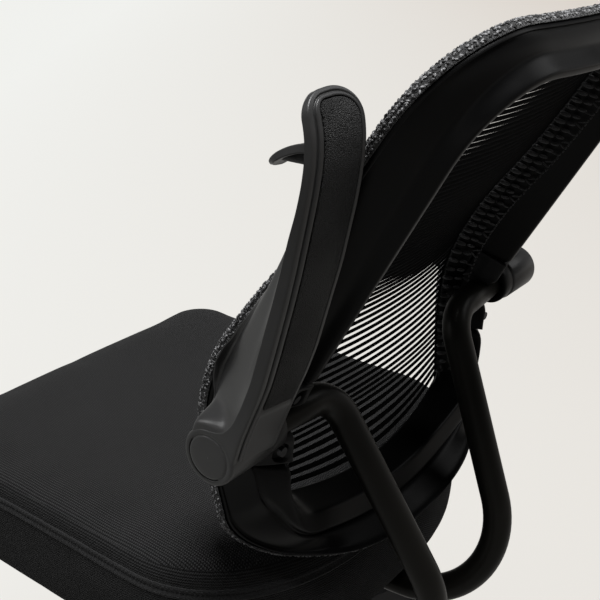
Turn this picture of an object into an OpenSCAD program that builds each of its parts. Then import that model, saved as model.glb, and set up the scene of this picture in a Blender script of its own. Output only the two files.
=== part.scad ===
// Mesh-backed conference chair with flip-up arms, in millimetres.
// The origin is on the floor under the lift column, +Z is up and the sitter faces -Y.

/* [Overall] */
// Height of the seat top above the floor
seat_h = 455; // [445:1:520]
// Rise of the arm pivots above the seat top
pivot_rise = 167; // [160:1:200]
// Distance of the arm pivots behind the lift column
pivot_back = 220; // [215:1:240]

/* [Seat] */
// Half width of the seat at its seam
seat_hw = 240.7; // [220:0.1:250]
// Distance from the lift column to the front of the seat
seat_front = 257; // [240:1:280]
// Distance from the lift column to the rear of the seat
seat_rear = 248; // [240:1:250]
// Depth of the curved rear end of the seat
seat_rear_d = 155; // [130:1:170]
// Radius of the front corners of the seat
seat_corner = 58; // [40:1:80]
// Whole thickness of the cushion
cushion_t = 115; // [100:1:120]
// Height from the seam up to the seat top
seam_drop = 25; // [15:1:35]
// Thickness of the seat pan
pan_t = 10; // [6:0.5:11]
// Distance of the pan's edge in from the seam
pan_inset = 34; // [28:1:60]

/* [Back frame] */
// Lean of the upper back behind the vertical
back_lean = 28.9; // [20:0.1:32]
// Radius of the bend between the lower and the upper back
back_bend_r = 168; // [120:1:220]
// Half width of the window at its rear lip
window_hw = 174; // [165:1:176]
// Height of the window above the bend, along the back
window_up = 340; // [300:1:360]
// Depth of the window below the bend, along the back
window_down = 102; // [90:1:110]
// Radius of the window's top corners
window_rt = 66; // [40:1:90]
// Radius of the window's bottom corners
window_rb = 36; // [28:1:44]
// Width of the proud ring round the window
lip_w = 8; // [6:0.5:10]
// Depth of the valley outside the proud ring
valley_d = 16; // [8:1:18]
// Half width of the frame over its wings
frame_hw = 208; // [200:1:210]
// Reach of the frame beyond the window's top lip
frame_up = 25; // [22:1:40]
// Reach of the frame below the window's bottom lip at the sides
frame_down = 38; // [30:1:46]
// Extra drop of the window and the bottom edge at their middle
smile_d = 38; // [20:1:42]
// Deepest reach of the wings in front of the rear lip
wing_d = 80; // [70:1:84]
// Rearward sweep of the bottom edge at its middle
bottom_sweep = 90; // [84:1:94]

/* [Mesh] */
// Half width of the mesh panel
mesh_hw = 150; // [140:1:152]
// Deepest distance of the mesh in front of the rear lip
mesh_d = 59; // [50:1:62]
// Rearward sag of the mesh at its middle
mesh_bow = 14; // [6:1:18]
// Number of gaps between the mesh ribs
mesh_gaps = 56; // [20:1:60]
// Thickness of the mesh
mesh_t = 1.8; // [1.2:0.1:2.4]
// Width of the mesh panel's edge strip
mesh_edge = 5; // [3:0.5:8]
// Thickness of the knitted border
knit_t = 2.4; // [1.5:0.1:3]

/* [Back tubes] */
// Outer diameter of the back tubes
tube_d = 30; // [26:0.5:30]
// Distance of the tube's upper corner from the middle
tube_in = 110.7; // [100:0.1:115]
// Distance of the tube's lower corner from the middle
tube_low_in = 50; // [46:0.5:55]
// Distance of the tube's front end from the middle
tube_end_in = 30.5; // [29:0.5:34]
// Setback of the tube's lower corner behind the arm pivots
tube_setback = 153; // [140:1:170]
// Radius of the tube's upper bend
tube_r_top = 38; // [34:1:44]
// Radius of the tube's lower bend
tube_r_low = 94; // [80:1:100]

/* [Arms] */
// Distance of the arm's inner face from the middle
arm_in = 217; // [215.5:0.5:222]
// Distance of the hub cap's face from the middle
arm_out = 271; // [264:0.5:276]
// Width of the arm pad and its rim
arm_w = 49; // [44:0.5:49]
// Length of the arm from its pivot to its tip
arm_len = 312; // [280:1:330]
// Radius of the arm's hub
hub_r = 25; // [23:0.5:27]
// Radius of the hub cap
cap_r = 19.6; // [17:0.1:20]
// Height of the pad face above the pivot axis
pad_rise = 33.4; // [30:0.1:36]
// Thickness of the pad
pad_t = 3; // [2:0.1:4]
// Diameter of the arm's pivot pin
pivot_pin_d = 16; // [12:0.5:18]
// Angle of a lowered arm above the horizontal
arm_low = 15.2; // [8:0.1:18]
// Swing of an arm from lowered to raised
arm_swing = 90; // [85:1:90]

/* [Tilt mechanism] */
// Width of the housing
housing_w = 140; // [134:1:170]
// Height of the housing
housing_h = 54; // [50:1:60]
// Wall of the housing
housing_wall = 7; // [5:0.5:9]
// Distance of the tilt pin behind the lift column
tilt_back = 64; // [60:1:70]
// Diameter of the tilt pin
tilt_pin_d = 12; // [10:0.5:14]
// Height of the tilt pin below the seat's underside
tilt_drop = 31; // [29:0.5:33]

/* [Lift and base] */
// Outer diameter of the lift column
column_d = 50; // [44:1:52]
// Diameter of the lift's piston
piston_d = 28; // [24:1:30]
// Travel of the lift
lift_travel = 100; // [60:5:120]
// Radius from the lift column to the castor stems
base_r = 320; // [290:1:340]
// Radius of the base's hub
base_hub_r = 38; // [34:1:44]
// Radius of a castor wheel
wheel_r = 30; // [25:0.5:32]
// Width of one castor wheel
wheel_w = 19; // [15:0.5:22]
// Trail of the castor's axle behind its stem
castor_trail = 20; // [14:0.5:24]

/* [Hidden] */
$fn = 48;
// clearances
fit_gap = 0.05;
seat_gap = 0.3;
run_gap = 0.5;
side_gap = 0.5;
over = 1;

// heights and places that several pieces share
pivot_z = seat_h + pivot_rise;
cushion_z = seat_h - cushion_t;
seam_z = seat_h - seam_drop;
pan_z = cushion_z - seat_gap - pan_t;
plate_t = 3;
plate_side = 25;
plate_w = housing_w + 2 * plate_side;
plate_l = 170;
housing_top = pan_z - plate_t;
housing_z = housing_top - housing_h;
tilt_z = cushion_z - tilt_drop;

// side profile of the back: upright, a bend, then the lean
kink_y = 11;
kink_z = 3;
bend_half = back_bend_r * back_lean / 2 * PI / 180;
bend_tan = back_bend_r * tan(back_lean / 2);
back_len = window_up + window_hw / 2;

function clamp(v, a, b) = min(max(v, a), b);
function mix(a, b, t) = a + (b - a) * t;
function unit(v) = v / norm(v);
function middle(list) = [for (i = [0:2]) (min([for (p = list) p[i]]) + max([for (p = list) p[i]])) / 2];

// direction of the back at a distance s along it, from the vertical
function lean_at(s) = back_lean * clamp((s + bend_half) / (2 * bend_half), 0, 1);

// point of the side profile at a distance s along it, as [y, z]
function profile(s) =
    let (a = lean_at(s), low = min(s + bend_half, 0), high = max(s - bend_half, 0))
    [
        back_bend_r * (1 - cos(a)) + high * sin(back_lean),
        -bend_tan + back_bend_r * sin(a) + low + high * cos(back_lean),
    ];

// point at u across the back, s along it and n behind it
function on_back(p) =
    let (a = lean_at(p[1]), q = profile(p[1]))
    [
        p[0],
        pivot_back + kink_y + q[0] + p[2] * cos(a),
        pivot_z - kink_z + q[1] - p[2] * sin(a),
    ];

// shares of the depths along the back, against shares of its length
mesh_depth_shares = [[-0.3, 0.7], [-0.05, 0.78], [0.03, 0.9], [0.11, 0.98], [0.19, 1], [0.28, 0.95], [0.42, 0.8], [0.57, 0.73], [0.8, 0.66]];
wing_depth_shares = [[-0.33, 0.86], [-0.25, 0.66], [-0.17, 0.8], [-0.05, 1], [0.03, 1], [0.14, 0.93], [0.26, 0.84], [0.33, 0.75], [0.69, 0.59], [0.78, 0.55], [0.88, 0.46]];
bow_top = 12;
bow_low = 20;

function low_share(s) = clamp((-s / back_len - 0.13) / 0.14, 0, 1);
function high_share(s) = clamp((s / back_len - 0.6) / 0.14, 0, 1);
function mesh_n(u, s) =
    -mesh_d * lookup(s / back_len, mesh_depth_shares) + mesh_bow * (1 - pow(u / mesh_hw, 2));
function lip_n(u, s) =
    max(0, 1 - pow(u / window_hw, 2)) * (bow_top * high_share(s) + bow_low * low_share(s));
function outer_n(u, s) =
    -wing_d * lookup(s / back_len, wing_depth_shares)
    + max(0, 1 - pow(u / frame_hw, 4)) * bottom_sweep * low_share(s)
    + max(0, 1 - pow(u / frame_hw, 2)) * bow_top * high_share(s);

// where the notch for each side bracket starts and ends along the back, and its floor
notch_low = 43;
notch_high = 42;
notch_floor = 33;
notch_edge = 0.05;

// round-cornered outline on the back, with the same stations for every size
corner_steps = 8;
cross_steps = 12;
upper_steps = 10;
side_places = concat(
    [for (i = [0:5]) mix(-notch_low, notch_high, i / 5)],
    [for (i = [1:upper_steps]) mix(notch_high, window_up - window_rt - notch_edge, i / upper_steps)]
);
side_list = concat([-notch_low - notch_edge], [for (i = [0:5]) side_places[i]], [notch_high + notch_edge], [for (i = [6:len(side_places) - 1]) side_places[i]]);
stations = 4 * corner_steps + 4 + 2 * len(side_list) + 2 * (cross_steps - 1);

function outline(hw, down, up, rt, rb) = concat(
    [for (i = [1:cross_steps - 1]) [mix(rb - hw, hw - rb, i / cross_steps), -down]],
    [for (i = [0:corner_steps]) let (a = 90 * i / corner_steps) [hw - rb + rb * sin(a), -down + rb - rb * cos(a)]],
    [for (s = side_list) [hw, s]],
    [for (i = [0:corner_steps]) let (a = 90 * i / corner_steps) [hw - rt + rt * cos(a), up - rt + rt * sin(a)]],
    [for (i = [1:cross_steps - 1]) [mix(hw - rt, rt - hw, i / cross_steps), up]],
    [for (i = [0:corner_steps]) let (a = 90 * i / corner_steps) [rt - hw - rt * sin(a), up - rt + rt * cos(a)]],
    [for (i = [1:len(side_list)]) [-hw, side_list[len(side_list) - i]]],
    [for (i = [0:corner_steps]) let (a = 90 * i / corner_steps) [rb - hw - rb * cos(a), -down + rb - rb * sin(a)]]
);

// the five outlines that the frame's section runs between
mesh_low_in = 6;
mesh_high_in = 18;
mesh_down = window_down - mesh_low_in;
mesh_up = window_up - mesh_high_in;
mesh_corner = 3;
lip_low_w = 18;
valley_w = 5;
outer_rt = 88;
outer_rb = 40;
ring_m = outline(mesh_hw, mesh_down, mesh_up, mesh_corner, mesh_corner);
ring_l = outline(window_hw, window_down, window_up, window_rt, window_rb);
ring_p = outline(window_hw + lip_w, window_down + lip_low_w, window_up + lip_w, window_rt + lip_w, window_rb + lip_w);
ring_v = outline(window_hw + lip_w + valley_w, window_down + lip_low_w + valley_w, window_up + lip_w + valley_w, window_rt + lip_w + valley_w, window_rb + lip_w + valley_w);
ring_o = outline(frame_hw, window_down + frame_down, window_up + frame_up, outer_rt, outer_rb);

// small steps of the frame's section
lip_round = 1.4;
bead_h = 10;
bead_round = 3;
low_valley = 3;

// the window and the bottom edge drop towards their middle
function smiled(p) = [for (i = [0:len(p) - 1]) i == 1 ? p[1] - smile_d * pow(max(0, 1 - pow(p[0] / frame_hw, 2)), 1.6) * low_share(p[1]) : p[i]];

function at2(p, q, t, n) = [mix(p[0], q[0], t), mix(p[1], q[1], t), n];

// in the notch, what stands proud of its floor is cut down to it
function in_notch(s) = s > -notch_low - notch_edge / 2 && s < notch_high + notch_edge / 2;
function notched(list) =
    [for (p = list) in_notch(list[0][1]) && p[2] > -notch_floor ? [p[0], p[1], -notch_floor] : p];

// the frame's closed section at one station, from the mesh's edge over the lip to the wing's edge
function frame_section(k) =
    let (
        m = ring_m[k], l = ring_l[k], p = ring_p[k], v = ring_v[k], o = ring_o[k],
        nm = mesh_n(m[0], m[1]), nl = lip_n(l[0], l[1]), no = outer_n(o[0], o[1]),
        nv = nl - mix(valley_d, low_valley, low_share(v[1])), nb = no + bead_h
    )
    [
        [m[0], m[1], nm],
        at2(m, l, 0.15, nm + 2 * bead_round),
        at2(m, l, 0.6, mix(nm, nl, 0.55)),
        at2(m, l, 0.92, nl - 2 * bead_round),
        [l[0], l[1], nl - lip_round],
        at2(l, p, 0.25, nl),
        at2(l, p, 0.75, nl),
        [p[0], p[1], nl - lip_round],
        at2(p, v, 0.4, mix(nl, nv, 0.7)),
        [v[0], v[1], nv],
        at2(v, o, 0.14, mix(nv, nb, 0.09)),
        at2(v, o, 0.5, mix(nv, nb, 0.46)),
        at2(v, o, 0.86, mix(nv, nb, 0.88)),
        at2(v, o, 0.94, nb),
        [o[0], o[1], no + 2 * bead_round],
        [o[0], o[1], no + lip_round],
        at2(m, o, 0.97, no),
        at2(m, o, 0.75, mix(nm, no, 0.79)),
        at2(m, o, 0.35, mix(nm, no, 0.38)),
    ];

// the knitted border's closed section: over the frame's front and round the wing's edge
function knit_section(k) =
    let (
        m = ring_m[k], o = ring_o[k], nm = mesh_n(m[0], m[1]), no = outer_n(o[0], o[1]),
        out = unit([o[0] - m[0], o[1] - m[1]]), g = seat_gap, t = knit_t
    )
    [
        at2(m, o, 0.03, mix(nm, no, 0.032) - g),
        at2(m, o, 0.35, mix(nm, no, 0.38) - g),
        at2(m, o, 0.75, mix(nm, no, 0.79) - g),
        at2(m, o, 0.97, no - g),
        [o[0] + out[0] * g, o[1] + out[1] * g, no + lip_round],
        [o[0] + out[0] * g, o[1] + out[1] * g, no + 2 * bead_round],
        [o[0] + out[0] * t, o[1] + out[1] * t, no + 2 * bead_round + g],
        [o[0] + out[0] * (t + g), o[1] + out[1] * (t + g), no + lip_round],
        [o[0] + out[0] * t / 2, o[1] + out[1] * t / 2, no - t],
        at2(m, o, 0.92, mix(nm, no, 0.95) - t - g),
        at2(m, o, 0.75, mix(nm, no, 0.79) - t - g),
        at2(m, o, 0.35, mix(nm, no, 0.38) - t - g),
        at2(m, o, 0.03, mix(nm, no, 0.032) - t - g),
    ];

// closed ring swept from a list of closed sections; two rings that face each other are split the other way
module ring_solid(sections, facing = false) {
    n = len(sections);
    m = len(sections[0]);
    polyhedron(
        points = [for (sec = sections) each [for (p = sec) on_back(smiled(p))]],
        faces = [
            for (k = [0:n - 1], j = [0:m - 1])
            let (a = k * m + j, b = k * m + (j + 1) % m, c = (k + 1) % n * m + j, d = (k + 1) % n * m + (j + 1) % m)
            each facing ? [[a, b, c], [b, d, c]] : [[a, d, c], [a, b, d]]
        ]
    );
}

// open loft through closed sections, with its ends closed by fans
module loft(sections) {
    n = len(sections);
    m = len(sections[0]);
    polyhedron(
        points = concat([for (sec = sections) each sec], [middle(sections[0]), middle(sections[n - 1])]),
        faces = concat(
            [for (j = [0:m - 1]) [n * m, j, (j + 1) % m]],
            [
                for (k = [0:n - 2], j = [0:m - 1])
                let (j2 = (j + 1) % m)
                each [[k * m + j, (k + 1) * m + j, (k + 1) * m + j2], [k * m + j, (k + 1) * m + j2, k * m + j2]]
            ],
            [for (j = [0:m - 1]) [n * m + 1, (n - 1) * m + (j + 1) % m, (n - 1) * m + j]]
        )
    );
}

// places its children with their Z axis along a direction
module aim(place, dir) {
    z = unit(dir);
    x = unit(cross(abs(z[2]) > 0.9 ? [0, 1, 0] : [0, 0, 1], z));
    y = cross(z, x);
    multmatrix([[x[0], y[0], z[0], place[0]], [x[1], y[1], z[1], place[1]], [x[2], y[2], z[2], place[2]], [0, 0, 0, 1]])
        children();
}

// cylinder along X from one place to another
module rod_x(x0, x1, y, z, r) {
    translate([x0, y, z])
        rotate([0, 90, 0])
            cylinder(h = x1 - x0, r = r);
}

// cylinder along Y from one place to another
module rod_y(y0, y1, x, z, r) {
    translate([x, y1, z])
        rotate([90, 0, 0])
            cylinder(h = y1 - y0, r = r);
}

// round-cornered plate
module round_plate(w, l, t, r) {
    linear_extrude(t)
        union() {
            square([w - 2 * r, l], center = true);
            square([w, l - 2 * r], center = true);
            for (x = [-1, 1], y = [-1, 1])
                translate([x * (w / 2 - r), y * (l / 2 - r)])
                    circle(r);
        }
}

// star base

leg_top_z = 118;
leg_tip_z = 94;
leg_low_z = 66;
leg_root_w = 42;
leg_tip_w = 34;
leg_wall = 4;
base_hub_top = 130;
base_hub_z = 62;
stem_d = 11;
stem_in = 22;
legs = 5;

module leg_plan(w0, w1, r0, r1) {
    union() {
        polygon([[r0, -w0 / 2], [r1, -w1 / 2], [r1, w1 / 2], [r0, w0 / 2]]);
        translate([r1, 0])
            circle(w1 / 2);
    }
}

// side profile of a leg, with a bowed upper edge
module leg_side(top0, top1, low, r1) {
    steps = 12;
    polygon(concat(
        [[0, low], [r1, low]],
        [for (i = [steps:-1:0]) let (t = i / steps) [r1 * t, mix(top0, top1, pow(t, 1.4))]]
    ));
}

module leg() {
    reach = base_r + leg_tip_w;
    difference() {
        intersection() {
            linear_extrude(base_hub_top)
                leg_plan(leg_root_w, leg_tip_w, base_hub_r - 2 * leg_wall, base_r);
            translate([0, leg_root_w, 0])
                rotate([90, 0, 0])
                    linear_extrude(2 * leg_root_w)
                        leg_side(leg_top_z, leg_tip_z, leg_low_z, reach);
        }
        intersection() {
            linear_extrude(base_hub_top)
                leg_plan(leg_root_w - 3 * leg_wall, leg_tip_w - 2 * leg_wall, base_hub_r + leg_wall, base_r - leg_tip_w);
            translate([0, leg_root_w, -leg_wall])
                rotate([90, 0, 0])
                    linear_extrude(2 * leg_root_w)
                        leg_side(leg_top_z - leg_wall, leg_tip_z - leg_wall, leg_low_z - over, reach);
        }
    }
    translate([base_r, 0, leg_low_z])
        cylinder(h = stem_in + over, r = stem_d / 2 + leg_wall);
}

module star_base() {
    color([0.06, 0.06, 0.065])
        difference() {
            union() {
                for (i = [0:legs - 1])
                    rotate(90 + i * 360 / legs)
                        leg();
                translate([0, 0, base_hub_z])
                    cylinder(h = base_hub_top - base_hub_z, r = base_hub_r);
            }
            translate([0, 0, base_hub_z - over])
                cylinder(h = base_hub_top - base_hub_z + 2 * over, r = column_d / 2 + fit_gap);
            for (i = [0:legs - 1])
                rotate(90 + i * 360 / legs)
                    translate([base_r, 0, leg_low_z - over])
                        cylinder(h = stem_in + over, r = stem_d / 2 + fit_gap);
        }
}

// castors

hood_t = 3;
web_w = 11;
web_r = 22;
axle_d = 8;
axle_l = 2 * wheel_w + web_w + 4 * side_gap;
stem_boss_r = 10;
stem_boss_h = 5;
wheel_round = 4;
rim_r = 20;
rim_d = 3;

module at_castor(i) {
    rotate(90 + i * 360 / legs)
        translate([base_r, 0, 0])
            children();
}

// stem, boss, web and hood of one castor, with its axle bore
module castor_body(i) {
    hood_r = wheel_r + run_gap + hood_t;
    hood_w = web_w + 2 * wheel_w + 2 * side_gap;
    color([0.05, 0.05, 0.055])
        at_castor(i)
            difference() {
                union() {
                    intersection() {
                        rod_y(-hood_w / 2, hood_w / 2, castor_trail, wheel_r, hood_r);
                        translate([castor_trail - wheel_r, -hood_w / 2 - over, wheel_r + web_w])
                            cube([2 * wheel_r + hood_t, hood_w + 2 * over, hood_r]);
                    }
                    rod_y(-web_w / 2, web_w / 2, castor_trail, wheel_r, web_r);
                    translate([0, 0, leg_low_z - run_gap - stem_boss_h - hood_t])
                        cylinder(h = stem_boss_h + hood_t, r = stem_boss_r);
                    translate([0, 0, leg_low_z - run_gap - stem_boss_h])
                        cylinder(h = stem_boss_h + stem_in - run_gap, r = stem_d / 2);
                    translate([0, -web_w / 2, wheel_r + web_w])
                        cube([castor_trail, web_w, leg_low_z - wheel_r - web_w - stem_boss_h]);
                }
                for (s = [-1, 1])
                    translate([0, s * (hood_w + web_w) / 4, 0])
                        rod_y(-(hood_w - web_w) / 4 - (s > 0 ? 0 : over), (hood_w - web_w) / 4 + (s > 0 ? over : 0), castor_trail, wheel_r, wheel_r + run_gap);
                rod_y(-hood_w, hood_w, castor_trail, wheel_r, axle_d / 2 + fit_gap);
            }
}

module castor_axle(i) {
    color([0.7, 0.7, 0.72])
        at_castor(i)
            rod_y(-axle_l / 2, axle_l / 2, castor_trail, wheel_r, axle_d / 2);
}

// the pair of wheels of one castor, each turned with a rounded tread and a dished face
module castor_wheels(i) {
    w = wheel_w;
    r = wheel_r;
    color([0.09, 0.09, 0.095])
        at_castor(i)
            for (s = [0, 1])
                translate([castor_trail, 0, r])
                    mirror([0, s, 0])
                        rotate([-90, 0, 0])
                            translate([0, 0, web_w / 2 + side_gap])
                                rotate_extrude($fn = 64)
                                    polygon([
                                        [axle_d / 2 + fit_gap, 0], [r - wheel_round / 2, 0], [r, wheel_round / 2],
                                        [r, w - wheel_round], [r - wheel_round / 4, w - wheel_round / 3], [r - wheel_round, w],
                                        [rim_r, w], [rim_r - rim_d, w - rim_d], [axle_d, w - rim_d], [axle_d / 2 + fit_gap, w - rim_d],
                                    ]);
}

// gas lift

column_neck = 11;
column_floor = 40;
piston_grip = 40;
column_top = housing_z - column_neck;
piston_low = max(column_top - lift_travel - piston_grip, base_hub_z + column_floor / 2 + run_gap);
piston_head = 26;

module lift_column() {
    color([0.07, 0.07, 0.075])
        difference() {
            translate([0, 0, base_hub_z])
                cylinder(h = column_top - base_hub_z, r = column_d / 2);
            translate([0, 0, base_hub_z + column_floor / 2])
                cylinder(h = column_top, r = piston_d / 2 + fit_gap);
        }
}

module lift_piston() {
    color([0.75, 0.75, 0.77])
        translate([0, 0, piston_low])
            cylinder(h = housing_z + piston_head - piston_low, r = piston_d / 2);
}

// tilt mechanism, under the seat

housing_front = 92;
housing_tail = 34;
housing_back = tilt_back + housing_tail;
housing_round = 12;
boss_r = 24;
tilt_boss_r = 14;
shaft_d = 10;
knob_r = 24;
knob_l = 34;
knob_z = housing_z + housing_h / 2;
shaft_l = 40;
lever_y = -32;
lever_drop = 20;
lever_z = housing_top - lever_drop;
lever_pin_d = 6;
lug_t = 6;
lug_gap = 12;
lug_reach = 16;

module housing_block(inset) {
    translate([0, (housing_back - housing_front) / 2, 0])
        round_plate(housing_w - 2 * inset, housing_back + housing_front - 2 * inset, housing_h, housing_round - inset / 2);
}

module mechanism_housing() {
    r = tilt_pin_d / 2 + fit_gap;
    color([0.07, 0.07, 0.075])
        difference() {
            union() {
                difference() {
                    translate([0, 0, housing_z])
                        housing_block(0);
                    // the hollow is open below and behind
                    translate([0, 0, housing_z - housing_wall])
                        housing_block(housing_wall);
                    translate([-housing_w / 2 + housing_wall, 0, housing_z - over])
                        cube([housing_w - 2 * housing_wall, housing_back + over, housing_h - housing_wall + over]);
                    // the top is open over the yoke
                    translate([-housing_w / 2 + housing_wall, boss_r + housing_wall, housing_z])
                        cube([housing_w - 2 * housing_wall, housing_back, housing_h + over]);
                }
                translate([0, 0, housing_z])
                    cylinder(h = housing_h - over, r = boss_r);
                translate([-housing_wall / 2, -housing_front + housing_wall / 2, housing_z + housing_wall])
                    cube([housing_wall, housing_front - boss_r, housing_h - housing_wall - over]);
                translate([0, -housing_front + shaft_l / 2 + housing_wall / 2, knob_z])
                    rotate([90, 0, 0])
                        cylinder(h = shaft_l / 2, r = shaft_d);
                // lugs for the height lever
                for (s = [-1, 1])
                    translate([-housing_w / 2 - lug_reach, lever_y + s * (lug_gap + lug_t) / 2 - lug_t / 2, lever_z - lug_t])
                        cube([lug_reach + housing_wall, lug_t, 2 * lug_t]);
                for (s = [-1, 1])
                    rod_y(lever_y + s * (lug_gap + lug_t) / 2 - lug_t / 2, lever_y + s * (lug_gap + lug_t) / 2 + lug_t / 2, -housing_w / 2 - lug_reach, lever_z, lug_t);
            }
            translate([0, 0, housing_z - over])
                cylinder(h = piston_head + over, r = piston_d / 2 + fit_gap);
            rod_x(-housing_w, housing_w, tilt_back, tilt_z, r);
            rod_y(-housing_front - over, -housing_front + shaft_l, 0, knob_z, shaft_d / 2 + fit_gap);
            rod_y(lever_y - lug_gap - lug_t, lever_y + lug_gap + lug_t, -housing_w / 2 - lug_reach, lever_z, lever_pin_d / 2 + fit_gap);
        }
}

module tilt_pin() {
    head = 3;
    color([0.7, 0.7, 0.72])
        union() {
            rod_x(-housing_w / 2 - head, housing_w / 2 + head, tilt_back, tilt_z, tilt_pin_d / 2);
            rod_x(housing_w / 2 + seat_gap, housing_w / 2 + head, tilt_back, tilt_z, tilt_pin_d / 2 + head);
            rod_x(-housing_w / 2 - head, -housing_w / 2 - seat_gap, tilt_back, tilt_z, tilt_pin_d / 2 + head);
        }
}

module tension_knob() {
    flutes = 10;
    color([0.06, 0.06, 0.065])
        union() {
            difference() {
                rod_y(-housing_front - side_gap - knob_l, -housing_front - side_gap, 0, knob_z, knob_r);
                for (i = [0:flutes - 1])
                    let (a = i * 360 / flutes)
                    rod_y(-housing_front - knob_l - over, -housing_front - side_gap - shaft_d / 2, (knob_r + shaft_d / 4) * cos(a), knob_z + (knob_r + shaft_d / 4) * sin(a), shaft_d / 2);
            }
            rod_y(-housing_front - side_gap, -housing_front + shaft_l - over, 0, knob_z, shaft_d / 2);
        }
}

lever_l = 118;
paddle_w = 30;
paddle_l = 44;
paddle_t = 6;

module height_lever() {
    x0 = -housing_w / 2 - lug_reach;
    color([0.06, 0.06, 0.065])
        difference() {
            union() {
                rod_y(lever_y - lug_gap / 2 + side_gap, lever_y + lug_gap / 2 - side_gap, x0, lever_z, lug_t);
                rod_x(x0 - lever_l, x0, lever_y, lever_z, lug_t / 2 + over);
                translate([x0 - lever_l, lever_y, lever_z - paddle_t / 2])
                    round_plate(paddle_l, paddle_w, paddle_t, paddle_w / 3);
            }
            rod_y(lever_y - lug_gap, lever_y + lug_gap, x0, lever_z, lever_pin_d / 2 + fit_gap);
        }
}

module lever_pin() {
    color([0.7, 0.7, 0.72])
        rod_y(lever_y - lug_gap / 2 - lug_t, lever_y + lug_gap / 2 + lug_t, -housing_w / 2 - lug_reach, lever_z, lever_pin_d / 2);
}

// yoke that turns on the tilt pin and grips both tubes
tube_low_rise = 4;
tube_end_drop = 2;
tube_end_gap = 30;
tube_top_back = 4;
tube_top_drop = 6.5;
tube_low_z = tilt_z + tube_low_rise;
tube_end_z = tilt_z - tube_end_drop;
tube_end_y = tilt_back + tube_end_gap;
socket_l = 34;
socket_wall = 4;

tube_path = [
    [arm_in - side_gap - over, pivot_back, pivot_z],
    [tube_in, pivot_back + tube_top_back, pivot_z - tube_top_drop],
    [tube_low_in, pivot_back + tube_setback, tube_low_z],
    [tube_end_in, tube_end_y, tube_end_z],
];
tube_bends = [0, tube_r_top, tube_r_low, 0];

module back_yoke() {
    yoke_w = housing_w - 2 * housing_wall - 2 * side_gap;
    color([0.08, 0.08, 0.085])
        difference() {
            union() {
                rod_x(-yoke_w / 2, yoke_w / 2, tilt_back, tilt_z, tilt_boss_r);
                for (s = [-1, 1])
                    translate([s * tube_end_in - tube_d / 2 - socket_wall, tilt_back, tube_end_z - tube_d / 2])
                        cube([tube_d + 2 * socket_wall, tube_end_y - tilt_back, tube_d]);
                for (s = [-1, 1])
                    mirror([s < 0 ? 1 : 0, 0, 0])
                        aim(tube_path[3], tube_path[2] - tube_path[3])
                            translate([0, 0, -socket_wall])
                                cylinder(h = socket_l, r = tube_d / 2 + socket_wall);
            }
            for (s = [-1, 1])
                mirror([s < 0 ? 1 : 0, 0, 0])
                    aim(tube_path[3], tube_path[2] - tube_path[3])
                        cylinder(h = socket_l, r = tube_d / 2 + fit_gap);
            rod_x(-housing_w, housing_w, tilt_back, tilt_z, tilt_pin_d / 2 + fit_gap);
        }
}

// stations of a path with a bend of its own radius at each inner point, each [point, direction]
bend_steps = 10;
tube_sides = 22;
function path_stations(path, bends) =
    let (n = len(path))
    concat(
        [[path[0], unit(path[1] - path[0])]],
        [
            for (i = [1:n - 2])
            let (
                d1 = unit(path[i] - path[i - 1]), d2 = unit(path[i + 1] - path[i]), turn = acos(d1 * d2),
                inw = unit(d2 - d1 * (d1 * d2)), r = bends[i], o = path[i] - d1 * r * tan(turn / 2) + inw * r
            )
            for (k = [0:bend_steps])
            let (a = turn * k / bend_steps)
            [o + r * (d1 * sin(a) - inw * cos(a)), d1 * cos(a) + inw * sin(a)]
        ],
        [[path[n - 1], unit(path[n - 1] - path[n - 2])]]
    );

// round tube swept along a bent path, its rings turned by one fixed direction
module bent_tube(path, bends, d) {
    keel = unit([-1, -1, 1]);
    loft([
        for (st = path_stations(path, bends))
        let (x = unit(cross(keel, st[1])), y = cross(st[1], x))
        [for (k = [0:tube_sides - 1]) let (a = 360 * k / tube_sides) st[0] + d / 2 * (x * cos(a) + y * sin(a))]
    ]);
}

module back_tube() {
    color([0.1, 0.095, 0.09])
        bent_tube(tube_path, tube_bends, tube_d);
}

// back frame, with a notch on each side for the bracket
module back_frame() {
    color([0.085, 0.085, 0.09])
        ring_solid([for (k = [0:stations - 1]) notched(frame_section(k))]);
}

module knit_border() {
    color([0.13, 0.13, 0.14])
        ring_solid([for (k = [0:stations - 1]) knit_section(k)], facing = true);
}

// side bracket between the frame, the tube and the arm

bracket_w = 27;
bracket_foot_in = 10;
boss_l = 18;
boss_x = arm_in - boss_l;
neck_depth = 17;
neck_half = 22;
slot_w = 12;
slot_l = 17;
slot_d = 7;
slot_up = 26;
slot_low = 30;
slot_out = 10;
slot_x = window_hw + slot_out;
bracket_steps = 14;
bracket_round = 3;

// height of the bracket's face along the back: flush with the lip, sunk at the neck
function bracket_face(s) = -neck_depth * pow(cos(90 * clamp(s / neck_half, -1, 1)), 2);

function bracket_section(s) =
    let (f = bracket_face(s), g = seat_gap, r = bracket_round, x0 = window_hw, low = -notch_floor + g)
    [
        [x0 - bracket_foot_in, s, low],
        [x0 + mix(0, -bracket_foot_in, (r - f) / notch_floor), s, f - r],
        [x0 + r, s, f],
        [x0 + bracket_w - r, s, f],
        [x0 + bracket_w, s, f - r],
        [x0 + bracket_w, s, low],
    ];

// slot across the bracket's face, sunk along the face's own normal
module face_slot(s, w, l, depth) {
    q = on_back([slot_x, s, 0]);
    translate(q)
        rotate([-90 - lean_at(s), 0, 0])
            translate([0, 0, -depth])
                union() {
                    for (t = [-1, 1])
                        translate([0, t * (l - w) / 2, 0])
                            cylinder(h = 2 * depth, r = w / 2);
                    translate([-w / 2, -(l - w) / 2, 0])
                        cube([w, l - w, 2 * depth]);
                }
}

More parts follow.
